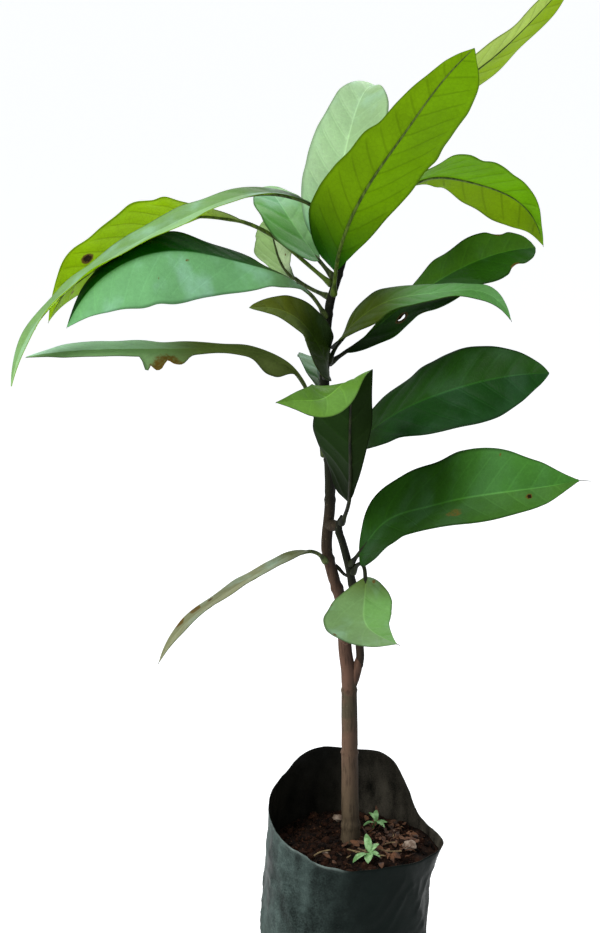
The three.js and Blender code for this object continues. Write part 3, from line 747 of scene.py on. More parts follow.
def blade_width(leaf, t, u, side, seed):
    """The halves' widths in mm, and how far the flaps hang."""
    length, end, blunt = leaf["length"], leaf["end"], leaf["blunt"]
    width = np.where(u > 0, leaf["half"][0] * half_share(t, leaf["belly"][0]),
                     leaf["half"][1] * half_share(t, leaf["belly"][1]))
    width = width * (1 + 0.05 * (lattice(t * 0.5 + side, u * 0, 24, 1, seed) - 0.5))
    for half, at, depth, spread in leaf["trims"]:
        cut = depth * np.exp(-(((t - at) * length / spread) ** 2))
        width = np.where(u * half > 0, np.maximum(width - cut, LEAST_WIDTH), width)
    width = width * (1 + leaf["swell"] * ramp(0.7, 0.92, t))
    if end < 1:
        width = width * np.sqrt(np.maximum(1 - np.clip((t - end + blunt) / blunt, 0, 1) ** 2, 0.01))
    hang = np.zeros(t.shape)
    for half, at, depth, spread in leaf["bites"]:
        bite = depth * np.exp(-(np.abs((t - at) * length / spread) ** 3))
        hang += np.where(u * half > 0, np.minimum(bite, 0) * ramp(0.6, 1.0, np.abs(u)), 0)
        bite = np.maximum(bite, bite * 0.5)
        width = np.where(u * half > 0, np.maximum(width - bite, LEAST_WIDTH), width)
    return width, hang


def blade_relief(leaf, t, u, width, side, seed):
    """How far the sheet stands off its plain form, and how far along its side veins each point is."""
    length, count, off = leaf["length"], leaf["pairs"], np.abs(u)
    across = off * width
    run = t - (0.75 * across + 0.35 * across**2 / max(leaf["half"])) / length
    nearest = np.abs(run * count - np.round(run * count)) * length / count
    inner = window(0.02, 0.12, 0.8, 1.0, off) * window(0, 0.06, 0.9, 1, t)
    relief = -VEIN_GROOVE * np.exp(-((nearest / 1.1) ** 2)) * inner
    relief += VEIN_BULGE * np.sin(np.pi * np.minimum(nearest / (length / count), 0.5)) * inner
    beat = lattice(t * 0.9, side, 9, 1, seed + 5)
    ripple = np.sin(2 * np.pi * (t * max(2.0, length / WAVE_LENGTH) + side * 1.7 + 0.5 * beat))
    return relief + leaf["ruffle"] * ripple * off**2.2 * np.sin(np.pi * t) ** 0.7, run


# %% [markdown]
# ## Holes and dead edges
# Insects leave round holes with a brown border, and old margins are torn and dead. A hole could
# be a cut-out in the material or a Boolean cut. Here the faces inside the hole are left out, and
# the points next to it move to its border, so the hole is round and real on a plain grid. How
# brown a point is goes into the mesh as a value that the finish reads.

# %% The blade's wear
def pierce(leaf, place, flat, quads):
    """Cuts the holes. Returns the moved points, the faces that stay, and how brown each point is."""
    keep = np.ones(quads.shape[:2], bool)
    moved, brown = place.reshape(-1, 3).copy(), np.zeros(len(flat))
    ways = []
    for axis in (1, 0):
        slope = (np.roll(place, -1, axis) - np.roll(place, 1, axis)).reshape(-1, 3)
        ways.append(slope / np.maximum(np.linalg.norm(slope, axis=1, keepdims=True), 1e-9))
    for side_share, at, radius in leaf["holes"]:
        k = 0 if side_share > 0 else 1
        half = leaf["half"][k] * half_share(at, leaf["belly"][k])
        away = flat - np.array([side_share * half, at * leaf["length"]])
        turn, far = np.arctan2(away[:, 1], away[:, 0]), np.linalg.norm(away, axis=1)
        border = radius * (1 + 0.25 * np.sin(turn * 3 + at * 40) + 0.12 * np.sin(turn * 7))
        inside = far < border
        keep &= ~inside[quads].all(-1)
        share = np.where(inside, border / np.maximum(far, 1e-6) - 1, 0)[:, None]
        moved += share * (ways[0] * away[:, :1] + ways[1] * away[:, 1:])
        brown = np.maximum(brown, 1 - ramp(radius, radius + 3.0, far))
    return moved, keep, brown


def browned(leaf, t, u, flat, brown):
    """Adds dead patches and the edges of bites to how brown each point is."""
    for side_share, at, radius, strength in leaf["dead"]:
        middle = [side_share * leaf["half"][0 if side_share > 0 else 1], at * leaf["length"]]
        far = np.linalg.norm(flat - np.array(middle), axis=1)
        brown = np.maximum(brown, strength * (1 - ramp(radius * 0.6, radius * 1.3, far)))
    for half, at, depth, spread in leaf["bites"]:
        near = np.exp(-(((t - at) * leaf["length"] / spread) ** 2)) * ramp(0.75, 1.0, u * half)
        brown = np.maximum(brown, near.ravel() * min(1.0, max(depth, 0) / 3))
    return brown


# %% [markdown]
# ## The sheet
# A real blade is one sheet about 0.3 mm thick with two different sides. A Solidify modifier
# could give the thickness, but would also have to carry the holes and the two finishes. So both
# skins and the rim between them are built at once, each with its own material.

# %% The blade's sheet
def blade(name, leaf, line, materials):
    """The blade: an upper skin, a lower skin and the rim between them, with holes cut out."""
    t, u = np.meshgrid(np.linspace(0, leaf["end"], STATIONS), np.linspace(-1, 1, ACROSS), indexing="ij")
    side, seed = np.where(u > 0, 0.0, 0.37), sum(map(ord, name))
    point, left, up = line_at(line, leaf, leaf["stalk"] + leaf["length"] * t)
    width, hang = blade_width(leaf, t, u, side, seed)
    relief, run = blade_relief(leaf, t, u, width, side, seed)
    fold, vee = math.radians(leaf["fold"]), np.sqrt(u**2 + 0.01) - 0.1
    place = point + left * (math.cos(fold) * width * u)[..., None]
    place += up * (math.sin(fold) * width * vee + relief + hang)[..., None]
    normal = np.cross(np.gradient(place, axis=0), np.gradient(place, axis=1))
    normal /= np.maximum(np.linalg.norm(normal, axis=2, keepdims=True), 1e-9)
    thick = (normal * SHEET * (1 - 0.45 * u**2)[..., None] / 2).reshape(-1, 3)

    flat = np.stack([u * width, t * leaf["length"]], -1).reshape(-1, 2)
    quads = grid_quads(np.arange(t.size).reshape(t.shape))
    place, keep, brown = pierce(leaf, place, flat, quads)
    brown = browned(leaf, t, u, flat, brown)
    upper, lower = quads[keep], quads[keep][:, ::-1] + t.size
    sides = np.stack([upper, np.roll(upper, -1, 1)], -1).reshape(-1, 2).tolist()
    known = {tuple(e) for e in sides}
    start, end = np.array([e for e in sides if (e[1], e[0]) not in known]).T
    rim = np.stack([end, start, start + t.size, end + t.size], 1)
    faces = np.vstack([upper, lower, rim])
    kinds = np.repeat([0, 1, 1], [len(upper), len(lower), len(rim)])
    used = np.unique(faces)
    number = np.full(t.size * 2, -1)
    number[used] = np.arange(len(used))
    blade_map, vein_map = (
        np.tile(np.stack([u / 2 + 0.5, v], -1).reshape(-1, 2), (2, 1))[used] for v in (t, run)
    )
    return make_piece(name, np.vstack([place + thick, place - thick])[used], number[faces], materials, kinds,
                      {"blade": blade_map, "veins": vein_map}, {"worn": np.tile(brown, 2)[used]})


def rib_route(leaf, line):
    """Stalk and midrib as one route with its radii: sunk in the stem, under the sheet, out at the tip."""
    distances = np.concatenate([np.linspace(0, leaf["stalk"], 14)[:-1],
                                leaf["stalk"] + leaf["length"] * np.linspace(0, 0.985 * leaf["end"], 70)])
    point, _, up = line_at(line, leaf, distances)
    share = np.clip((distances - leaf["stalk"]) / leaf["length"], 0, 1)
    radii = 0.85 * STALK_RADIUS * (1 - 0.8 * share**0.8) * (1 + 0.8 * np.exp(-((distances / 3.0) ** 2)))
    drop = ramp(0, 0.08, share) * (radii * 0.55 + 0.1) * (1 - ramp(0.9, 1.0, share))
    route = point - up * drop[:, None]
    if leaf["end"] == 1:
        ahead = (point[-1] - point[-3]) / np.linalg.norm(point[-1] - point[-3])
        reach = leaf["drip"] * np.linspace(0.25, 1, 6)[:, None]
        route = np.vstack([route, route[-1] + ahead * reach - [0, 0, 0.06] * reach**2 / 2])
        radii = np.concatenate([radii, np.linspace(radii[-1], 0.12, 6)])
    inward = (route[2] - route[0]) / np.linalg.norm(route[2] - route[0])
    back = route[0] - inward * np.array([[1.4], [0.7]])
    return np.vstack([back, route]), np.concatenate([[radii[0] * 0.8, radii[0] * 1.05], radii])


# %% [markdown]
# ## The leaves' finishes
# The real upper side shows thin pale veins in grooves. The underside is duller, with raised
# veins, and on young leaves it is a bright yellow green, because light comes through. A
# translucent shader could do that, but the sheets stay opaque, so the two sides have materials
# of their own, and that light is painted into the underside's colour, with the veins of young
# undersides painted dark against it. A group finds the veins from the blade's own maps, another
# mottles the colour, and each leaf gives its own colours for its foot, its left half and its
# right half. These hold painted light and shade: the foot is darker where the leaves shade one
# another near the stem, and the halves differ by how the light falls on each. Pale leaves carry
# a painted bluish reflection of the sky in patches, the sheen, and every margin is painted
# darker as a thin line of shade. Dead patches and torn edges turn brown and then nearly black.

# %% The leaves' nodes
# The sheen colour is a painted reflection of the sky; the dry and dead colours are worn leaf.
SHEEN_COLOUR, DRY_COLOUR, DEAD_COLOUR = (176, 222, 206), (104, 84, 34), (38, 28, 14)
FOOT_FADE = 0.32


def vein_group():
    """Masks for midrib, side veins, their net, the left half and the margin, from the blade's maps."""
    nodes, given = shader_group("leaf_veins", {"Pairs": (NUMBER, 10.0)})
    u, t, _ = nodes.split(nodes.add("ShaderNodeUVMap", uv_map="blade")[0])
    run = nodes.split(nodes.add("ShaderNodeUVMap", uv_map="veins")[0])[1]
    off = nodes.math("ABSOLUTE", nodes.math("SUBTRACT", u, 0.5))
    midrib = nodes.step(off, 0.004, nodes.math("MULTIPLY_ADD", t, -0.012, 0.026), 1.0, 0.0)
    near = nodes.math("PINGPONG", nodes.times(run, given["Pairs"]), 0.5)
    side = nodes.times(nodes.step(near, 0.02, 0.085, 1.0, 0.0), nodes.step(off, 0.36, 0.47, 1.0, 0.0))
    cells = nodes.add("ShaderNodeTexVoronoi", {
        "Scale": 420.0, "Vector": nodes.place()}, feature="DISTANCE_TO_EDGE")
    masks = {
        "Midrib": midrib, "Side veins": side, "Net": nodes.step(cells["Distance"], 0.0, 0.12, 1.0, 0.0),
        "Left": nodes.step(u, 0.47, 0.53), "Along": t, "Margin": nodes.step(off, 0.455, 0.495),
    }
    return put_out(nodes, {label: (NUMBER, mask) for label, mask in masks.items()})


def mottle_group():
    """Large soft patches and fine grain, round 1, to multiply a colour with."""
    nodes, given = shader_group("leaf_mottle", {"Depth": (NUMBER, 0.3)})
    place = nodes.place()
    patches, grain = nodes.noise(place, 55.0), nodes.noise(place, 700.0, 2.0)
    swing = nodes.plus(nodes.times(nodes.math("SUBTRACT", patches, 0.5), 2.2),
                       nodes.times(nodes.math("SUBTRACT", grain, 0.5), 0.8))
    return put_out(nodes, {
        "Shade": (NUMBER, nodes.math("MULTIPLY_ADD", swing, given["Depth"], 1.0)), "Grain": (NUMBER, grain),
        "Patches": (NUMBER, nodes.noise(place, 58.0, stretch=(1.0, 1.0, 0.6)))})


VEINS, MOTTLE = vein_group(), mottle_group()


def leaf_finish(name, colours, pairs, gains, roughness, depth, specular, reach=FOOT_FADE, sheens=(0.0, 0.0)):
    """The material of one side of one leaf. The gains brighten or darken its side veins and its midrib."""
    made, nodes = material(name)
    veins = nodes.add("ShaderNodeGroup", {"Pairs": pairs}, node_tree=VEINS)
    mottle = nodes.add("ShaderNodeGroup", {"Depth": depth}, node_tree=MOTTLE)
    foot, left, right = (screen_colour(*c) for c in colours)
    # The colours carry painted light and shade: the halves by how light falls on each, the foot darker near the
    # stem.
    base = nodes.blend(veins["Left"], right, left)
    base = nodes.blend(nodes.step(veins["Along"], max(reach - FOOT_FADE, 0.0), reach), foot, base)
    # Painted reflection: pale bluish sheen patches stand for the sky's reflection, with a strength for each
    # half.
    left_half = nodes.step(veins["Left"], 0.0, 1.0, *sheens[::-1])
    sheen = nodes.times(nodes.step(mottle["Patches"], 0.45, 0.7), left_half)
    base = nodes.blend(sheen, base, screen_colour(*SHEEN_COLOUR))
    shaded = nodes.scaled(base, mottle["Shade"])
    veined = nodes.scaled(shaded, gains[0])
    base = nodes.blend(nodes.times(veins["Side veins"], 0.7), shaded, veined)
    base = nodes.blend(nodes.times(veins["Net"], 0.3), base, veined)
    base = nodes.blend(veins["Midrib"], base, nodes.scaled(shaded, gains[1]))
    # Painted shade: a thin darker line along every margin.
    base = nodes.blend(veins["Margin"], base, nodes.scaled(base, 0.55))
    worn = nodes.add("ShaderNodeAttribute", attribute_name="worn")["Fac"]
    torn = nodes.plus(worn, nodes.times(mottle["Grain"], 0.5))
    base = nodes.blend(nodes.step(torn, 0.6, 0.95), base, screen_colour(*DRY_COLOUR))
    base = nodes.blend(nodes.step(torn, 1.0, 1.25), base, screen_colour(*DEAD_COLOUR))
    relief = nodes.plus(nodes.times(veins["Side veins"], 0.6),
                        nodes.plus(nodes.times(veins["Net"], 0.25), nodes.times(mottle["Grain"], 0.3)))
    nodes.dress(base, roughness, specular, relief, 0.0002, 0.5)
    return made


def stalk_finish(name, colour, dark):
    made, nodes = material(name)
    grain = nodes.noise(nodes.place(), 600.0, stretch=(1, 1, 0.3))
    base = nodes.blend(nodes.step(grain, 0.35, 0.65), screen_colour(*dark), screen_colour(*colour))
    nodes.dress(base, 0.5, 0.15, grain, 0.0002, 0.4)
    return made


STALKS = {
    "young": stalk_finish("young_stalk", (84, 106, 34), (50, 68, 18)),
    "deep": stalk_finish("deep_stalk", (36, 41, 19), (16, 19, 9)),
    "pale": stalk_finish("pale_stalk", (76, 90, 44), (42, 52, 24)),
}
UPPER_GAINS = {"young": (1.2, 1.3), "deep": (1.25, 1.7), "pale": (1.12, 1.3)}
# On young undersides the gains below 1 paint the veins dark against the light that comes through the blade.
LOWER_GAINS = {"young": (0.7, 0.4), "deep": (1.2, 1.3), "pale": (0.85, 0.8)}
print("leaf groups:", VEINS.name, MOTTLE.name)

# %% [markdown]
# ## The nineteen leaves
# Each real leaf has colours of its own, from the pale new ones at the top to the old dark ones
# low down. One material for all would look copied, and a painted image for each would be long
# work. So one loop builds each leaf from its row: two finishes from its colours, the blade, and
# the rib that runs on from the stalk.

# %% Leaves
leaf_triangles = 0
for name, leaf in LEAVES.items():
    line, tone = leaf_line(leaf), leaf["tone"]
    upper = leaf_finish(name + "_upper", leaf["upper"], leaf["pairs"], UPPER_GAINS[tone], 0.48, 0.3,
                        leaf["gloss"], leaf["reach"], leaf["sheens"])
    lower = leaf_finish(name + "_lower", leaf["lower"], leaf["pairs"], LOWER_GAINS[tone], 0.52, 0.25, 0.03)
    sheet = blade(name + "_sheet", leaf, line, [upper, lower])
    stalk = STALKS["deep" if leaf["on"] == "shoot" else tone]
    rib = swept(name + "_rib", *rib_route(leaf, line), stalk, 10, 0.12, 500.0)
    piece = join(name + "_blade", [sheet, rib])
    leaf_triangles += sum(len(p.vertices) - 2 for p in piece.data.polygons)
    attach(piece, "root")
    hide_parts(name)
print("triangles in all leaves:", leaf_triangles)

# %% [markdown]
# ## The bag
# The real bag is a tube of thin black film, about 80 mm across once it is filled. Its rim stands
# high at the back, lies low in front and is pulled out to a corner on the right. The film is
# tight round the soil and free above it. A cloth simulation could drape it, but the film has to
# keep to its solid, so it is a skin of rings by a rule, with soft folds, creases and a heel. In
# front on the left the rim rolls outward to a lip, carries a painted pale highlight, and laps
# over itself.

# %% The bag's rule
BAG_RADIUS, BAG_HEEL, BAG_LEAN, BAG_SWELL, CREASED_HEIGHT = 40, 5, 13, 1.2, 215
RIM_HEIGHTS = [3, 6, 28, 31, 33, 24, 21, 14, 6.5, 2, 2.5, 0]
CORNER = {"bearing": -10, "reach": 5, "spread": 13, "depth": 22}
FILM, LIP, LAP = 0.35, 0.9, 0.8
LIP_BEARINGS = (-178, -160, -112, -96)  # it rises between the first two and ends between the last two
# Between these bearings the rim's lip carries a painted pale highlight.
RIM_HIGHLIGHT_BEARINGS = (-178, -160, -104, -88)
LAP_BEARINGS = (-142, -122, -121, -117)
AROUND, BAG_ROWS = 260, 132


def turned(bearing, start=0):
    """A bearing in degrees from a starting one, -180 to 180."""
    return (np.degrees(bearing) - start + 180) % 360 - 180


def rim_line(bearing):
    """The rim's plain height above the soil's level."""
    return along(RIM_HEIGHTS, bearing / (2 * np.pi), closed=True)


def rim_height(bearing):
    """The rim's height, with the step in front where the film's edge laps over itself."""
    ragged = 0.5 * (lattice(bearing / (2 * np.pi), 0 * bearing, 40, 1, 71) - 0.5)
    return SOIL_LEVEL + rim_line(bearing) + LAP * window(*LAP_BEARINGS, turned(bearing)) + ragged


def bag_radius(bearing, z):
    """The film's distance from the bag's leaning middle, without its creases."""
    swell = BAG_SWELL * np.cos(3 * bearing + 1) * np.sin(np.pi * z / SOIL_LEVEL / 1.3)
    heel = BAG_HEEL * np.maximum(0, 1 - z / 5) ** 2
    below_rim = SOIL_LEVEL + rim_line(bearing) - z
    corner = CORNER["reach"] * np.exp(-((turned(bearing, CORNER["bearing"]) / CORNER["spread"]) ** 2))
    return BAG_RADIUS + swell - heel + corner * np.maximum(0, 1 - below_rim / CORNER["depth"]) ** 1.5


def creases(bearing, z):
    """How far the film stands in or out of its plain form, in mm."""
    a, h = bearing / (2 * np.pi), z / CREASED_HEIGHT
    slow = lattice(a, h, 7, 4, 31) - 0.5
    ridge = 1 - np.abs(2 * lattice(a + 0.35 * h, h, 15, 9, 32) - 1)
    small = 1 - np.abs(2 * lattice(a - 0.5 * h, h, 34, 26, 33) - 1)
    fine = lattice(a + 0.2 * h, h, 80, 60, 34) - 0.5
    free = ramp(SOIL_LEVEL - 25, SOIL_LEVEL + 15, z)
    pleats = np.sin(2 * np.pi * (a * 21 + 0.5 * slow)) * ramp(40, 2, z)
    form = 1.1 * slow + (0.9 - 0.5 * free) * (ridge**2 - 0.3)
    form = form + (0.55 - 0.3 * free) * (small**3 - 0.2) + 0.25 * fine
    return (form + 0.7 * pleats) * ramp(0, 8, z) - 0.35


def bag_point(bearing, z, inset):
    """A point of the film, or one inside it by the inset."""
    reach = bag_radius(bearing, z) + creases(bearing, z) - inset
    middle = BAG_LEAN * z / SOIL_LEVEL
    return np.stack([middle + reach * np.cos(bearing), reach * np.sin(bearing), z], -1)


print("rim above the soil:", min(RIM_HEIGHTS), "to", max(RIM_HEIGHTS), "mm")


# %% [markdown]
# ## The film's two skins
# The real film is thin, and its inside shows at the back, where the rim stands high. One skin
# with Solidify could do it, but would thicken the folds unevenly at the rim. So the skin runs up
# the outside, over the rim and down inside, and closes under the soil.

# %% The bag's film
def underside(shell, turn, height):
    """Three rings that close a shell's foot, a little dented."""
    discs = []
    for k in (0.85, 0.6, 0.3):
        disc = shell * k
        dents = lattice(turn / (2 * np.pi), 0 * turn + k, 16, 3, 35)
        disc[:, 2] = height + 0.25 * (1 - k) * (0.4 + 0.6 * dents)
        discs.append(disc)
    return discs


def bag_film(finish):
    turn = np.arange(AROUND) / AROUND * 2 * np.pi
    share = np.concatenate([[0, 0.004, 0.01, 0.017, 0.025], np.linspace(0.033, 1, BAG_ROWS - 5)])
    bearing, level = np.meshgrid(turn, share)
    z = level * rim_height(bearing)
    below_rim = rim_height(bearing) - z
    outer = bag_point(bearing, z, -LIP * window(*LIP_BEARINGS, turned(bearing)) * ramp(3.0, 0.0, below_rim))
    way = outer - np.stack([BAG_LEAN * z / SOIL_LEVEL, 0 * z, z], -1)
    way[..., 2] = 0
    way /= np.linalg.norm(way, axis=2, keepdims=True)
    inner = outer - way * FILM * (1 - 0.3 * (level > 0.99))[..., None]
    inner[..., 2] = np.maximum(inner[..., 2], FILM)
    under, over = underside(outer[0], turn, 0.0), underside(inner[0], turn, FILM)
    points, faces = tube(np.array(under[::-1] + list(outer) + list(inner[::-1]) + over))
    # A painted highlight along the lip, kept as the rim mark.
    rim_highlight = window(*RIM_HIGHLIGHT_BEARINGS, turned(bearing)) * ramp(1.6, 0.4, below_rim)
    none = 0 * rim_highlight[:3]
    print("bag film: faces", len(faces), "height", round(float(z.max()), 1), "mm")
    return make_piece("bag_film", points, faces, [finish],
                      marks={"rim": np.vstack([none, rim_highlight, rim_highlight[::-1], none])})


# %% [markdown]
# ## The film's finish
# Polythene film is black and a little glossy. Outside it carries a grey-green bloom of dust and
# fine scuffs, partly painted sheen, most of it on the left, where the key lamp catches the film,
# and a painted pale highlight along the lip of the rim. Inside it is stained by splashes of soil,
# most of them on the right. Painted masks could place them. A node group is chosen, as it serves
# both: it puts out one mask of dust, and the material mixes its own colours with it. A point is
# inside the bag where its surface turns to the bag's middle.

# %% Film material
FILM_COLOURS = {"film": (12, 19, 17), "dust_and_sheen": (84, 100, 95), "rim_highlight": (132, 146, 140), "within": (10, 11, 8),
                "splash": (104, 98, 86)}


def dust_group():
    nodes, given = shader_group("dust", {"Amount": (NUMBER, 0.5), "Scale": (NUMBER, 60.0)})
    place = nodes.place()
    cloud = nodes.noise(place, given["Scale"], 5.0, stretch=(1, 1, 0.45))
    speck = nodes.noise(place, nodes.times(given["Scale"], 14.0), 2.0)
    both = nodes.plus(nodes.times(cloud, 1.3), nodes.times(speck, 0.5))
    return put_out(nodes, {"Mask": (NUMBER, nodes.times(nodes.step(both, 0.55, 1.25), given["Amount"]))})


DUST = dust_group()


def film_material():
    made, nodes = material("black_polythene")
    colour = {label: screen_colour(*value) for label, value in FILM_COLOURS.items()}
    dust = nodes.add("ShaderNodeGroup", {"Amount": 1.0, "Scale": 85.0}, node_tree=DUST)["Mask"]
    soiled = nodes.add("ShaderNodeGroup", {"Amount": 0.8, "Scale": 130.0}, node_tree=DUST)["Mask"]
    place = nodes.place()
    x, y, z = nodes.split(place)
    normal = nodes.split(nodes.add("ShaderNodeNewGeometry")["Normal"])
    from_middle = nodes.math("SUBTRACT", x, nodes.times(z, BAG_LEAN / SOIL_LEVEL))
    outward = nodes.plus(nodes.times(from_middle, normal[0]), nodes.times(y, normal[1]))
    # Dust mixed with painted sheen: the bloom grows towards the left, where the key lamp catches the film.
    blotches = nodes.step(nodes.noise(place, 210.0), 0.36, 0.64, 0.72, 1.15)
    dust_and_sheen = nodes.times(nodes.times(dust, nodes.step(x, -0.03, 0.022, 1.05, 0.03)), blotches)
    base = nodes.blend(dust_and_sheen, colour["film"], colour["dust_and_sheen"])
    rim = nodes.add("ShaderNodeAttribute", attribute_name="rim")["Fac"]
    # Painted highlight: the film turns pale along the lip of the rim, broken by noise.
    rim_highlight_share = nodes.times(rim, nodes.step(nodes.noise(place, 160.0, 2.0), 0.35, 0.6, 0.25, 0.9))
    base = nodes.blend(rim_highlight_share, base, colour["rim_highlight"])
    earthy = nodes.times(nodes.step(x, 0.0, 0.03, 0.12, 1.0), nodes.step(z, 0.176, 0.212, 1.0, 0.35))
    within = nodes.blend(nodes.times(soiled, earthy), colour["within"], colour["splash"])
    base = nodes.blend(nodes.step(outward, -0.01, 0.0, 1.0, 0.0), base, within)
    roughness, fine = nodes.step(dust, 0.0, 0.9, 0.33, 0.6), nodes.noise(place, 420.0, 4.0)
    nodes.dress(base, roughness, 0.045, fine, 0.0004, 0.35)
    return made


bag = bag_film(film_material())
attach(bag, "root")
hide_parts("nursery_bag")

# %% [markdown]
# ## Soil
# The filling reaches the film all round. Its top is lumpy, a little lower at the film, and level
# round the stem's foot. Bump alone would leave the top flat at its edge, so the lumps are points
# of the mesh. Each point also stores how clear of the film it is, for the crumbs that come next.

# %% The soil's body
SOIL_EDGE_DROP, SOIL_LUMPS, SOIL_FOOT, FILM_GAP = 2.5, 0.9, 0.9, 0.15
SIDE_ROWS, TOP_ROWS, ROWS_AT_FILM = 24, 58, 2
STEM_FOOT = np.array([14.0, 0.0, 0.0])


def soil_edge(bearing):
    """The soil's height at the film."""
    return SOIL_LEVEL - SOIL_EDGE_DROP + SOIL_LUMPS * np.sin(4 * bearing + 0.5)


def soil_height(x, y, share, bearing):
    """The height of the soil's top, at a share of the way from the stem's foot to the film."""
    a, b = x / 120 + 0.5, y / 120 + 0.5
    lumps = lattice(a, b, 22, 22, 51) + 0.5 * lattice(a, b, 61, 61, 52)
    pad = ramp(3, 12, np.hypot(x - STEM_FOOT[0], y))
    calm = 0.4 + 0.6 * (1 - ramp(0.9, 1.0, share))
    fall = (soil_edge(bearing) - SOIL_LEVEL) * ramp(0.55, 1.0, share)
    return SOIL_LEVEL + fall + 2.4 * (lumps - 0.75) * pad * calm


def soil_body(finish):
    turn = np.arange(AROUND) / AROUND * 2 * np.pi
    rows = [bag_point(turn, SOIL_FOOT + (soil_edge(turn) - SOIL_FOOT) * level, FILM + FILM_GAP)
            for level in np.linspace(0, 1, SIDE_ROWS)]
    rim = rows[-1]
    for share in np.linspace(0.985, 0.02, TOP_ROWS):
        ring = STEM_FOOT + (rim - STEM_FOOT) * share
        ring[:, 2] = soil_height(ring[:, 0], ring[:, 1], share, turn)
        rows.append(ring)
    under = rows[0] * 0.5
    under[:, 2] = SOIL_FOOT
    rings = np.array([under] + rows)
    points, faces = tube(rings)
    free = np.zeros(len(rings))
    free[ROWS_AT_FILM - TOP_ROWS:] = 1.0
    return make_piece("soil_body", points, faces, [finish], marks={"free": np.repeat(free, AROUND)})


def soil_material(name, dark, mid, pale, scale=240.0):
    made, nodes = material(name)
    place = nodes.place()
    clumps, grains = nodes.noise(place, scale, 4.0), nodes.noise(place, scale * 5)
    base = nodes.blend(nodes.step(clumps, 0.38, 0.62), screen_colour(*dark), screen_colour(*mid))
    base = nodes.blend(nodes.step(grains, 0.58, 0.72, 0.0, 0.7), base, screen_colour(*pale))
    nodes.dress(base, 0.92, 0.1, grains, 0.0006, 0.8)
    return made


soil = soil_body(soil_material("potting_soil", (11, 7, 5), (38, 24, 17), (84, 58, 40)))
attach(soil, "root")
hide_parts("soil")
print("soil faces:", len(soil.data.polygons))


# %% [markdown]
# ## Loose crumbs
# Real potting soil is a heap of grains, from dust up to clods of a few millimetres. Each could
# be placed by hand, or by a particle system. A tree of nodes is chosen, as it can be used twice,
# for fine grains and for coarse ones, and because its result can be made real and kept.

# %% The scattering tree
def scattering_tree():
    """Rough balls on the faces that are marked as free."""
    nodes, given, keys = shaping_tree("crumbs_on_a_surface", {
        "Density": "Float", "Smallest": "Float", "Largest": "Float", "Roughness": "Float", "Seed": "Int",
        "Finish": "Material"})
    free = nodes.add("GeometryNodeInputNamedAttribute", {"Name": "free"}, data_type="FLOAT")["Attribute"]
    room = nodes.add("FunctionNodeCompare", {0: free, 1: 0.99}, data_type="FLOAT", operation="GREATER_THAN")[0]
    points = nodes.add("GeometryNodeDistributePointsOnFaces", {
        "Mesh": given["Geometry"], "Selection": room, "Density": given["Density"],
        "Seed": given["Seed"]})["Points"]
    ball = nodes.add("GeometryNodeMeshIcoSphere", {"Radius": 1.0, "Subdivisions": 2})["Mesh"]
    sizes = nodes.add("FunctionNodeRandomValue", {
        2: given["Smallest"], 3: given["Largest"]}, data_type="FLOAT")[1]
    turns = nodes.add("FunctionNodeRandomValue", {1: (2 * math.pi,) * 3}, data_type="FLOAT_VECTOR")[0]
    balls = nodes.add("GeometryNodeInstanceOnPoints", {
        "Points": points, "Instance": ball, "Scale": sizes, "Rotation": turns})["Instances"]
    real = nodes.add("GeometryNodeRealizeInstances", {"Geometry": balls})["Geometry"]
    place = nodes.add("GeometryNodeInputPosition")["Position"]
    noise = nodes.add("ShaderNodeTexNoise", {"Scale": 650.0, "Detail": 1.0, "Vector": place})["Color"]
    centred = nodes.add("ShaderNodeVectorMath", {0: noise, 1: (0.5, 0.5, 0.5)}, operation="SUBTRACT")["Vector"]
    rough = nodes.add("GeometryNodeSetPosition", {
        "Geometry": real, "Offset": nodes.scaled(centred, given["Roughness"])})["Geometry"]
    done = nodes.add("GeometryNodeSetMaterial", {"Geometry": rough, "Material": given["Finish"]})["Geometry"]
    nodes.add("NodeGroupOutput", {"Geometry": done})
    return nodes.tree, keys


SCATTER, SCATTER_KEYS = scattering_tree()
CRUMBS = {  # balls a square metre, smallest and largest radius in m, seed
    "soil_crumbs_fine": (140000, 0.0005, 0.0011, 4), "soil_crumbs_coarse": (22000, 0.0011, 0.0024, 9),
}
crumb_finish = soil_material("soil_crumbs", (16, 10, 8), (52, 31, 21), (96, 66, 44), 160.0)
for name, (density, smallest, largest, seed) in CRUMBS.items():
    crumbs = baked(name, placed(name, soil.data.copy()), SCATTER, SCATTER_KEYS, {
        "Density": density, "Smallest": smallest, "Largest": largest, "Roughness": largest * 0.9,
        "Seed": seed, "Finish": crumb_finish,
    })
    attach(crumbs, "root")
    print(name, "faces:", len(crumbs.data.polygons))

# %% [markdown]
# ## A curled sheet
# A dry bit of leaf and a weed's leaflet are both a thin sheet that curls along its length. They
# could be cards with an image, which looks right from the front only. One small sheet of real
# points is chosen for both, turned and sized each time, which costs few faces and casts a true
# shadow.

# %% A curled sheet
SHEET_STEPS, SHEET_LANES = 9, 5


def soil_top(x, y):
    """The soil's height at a place between the stem and the film."""
    return float(soil_height(np.array([x]), np.array([y]), np.array([0.4]), np.array([0.0]))[0])


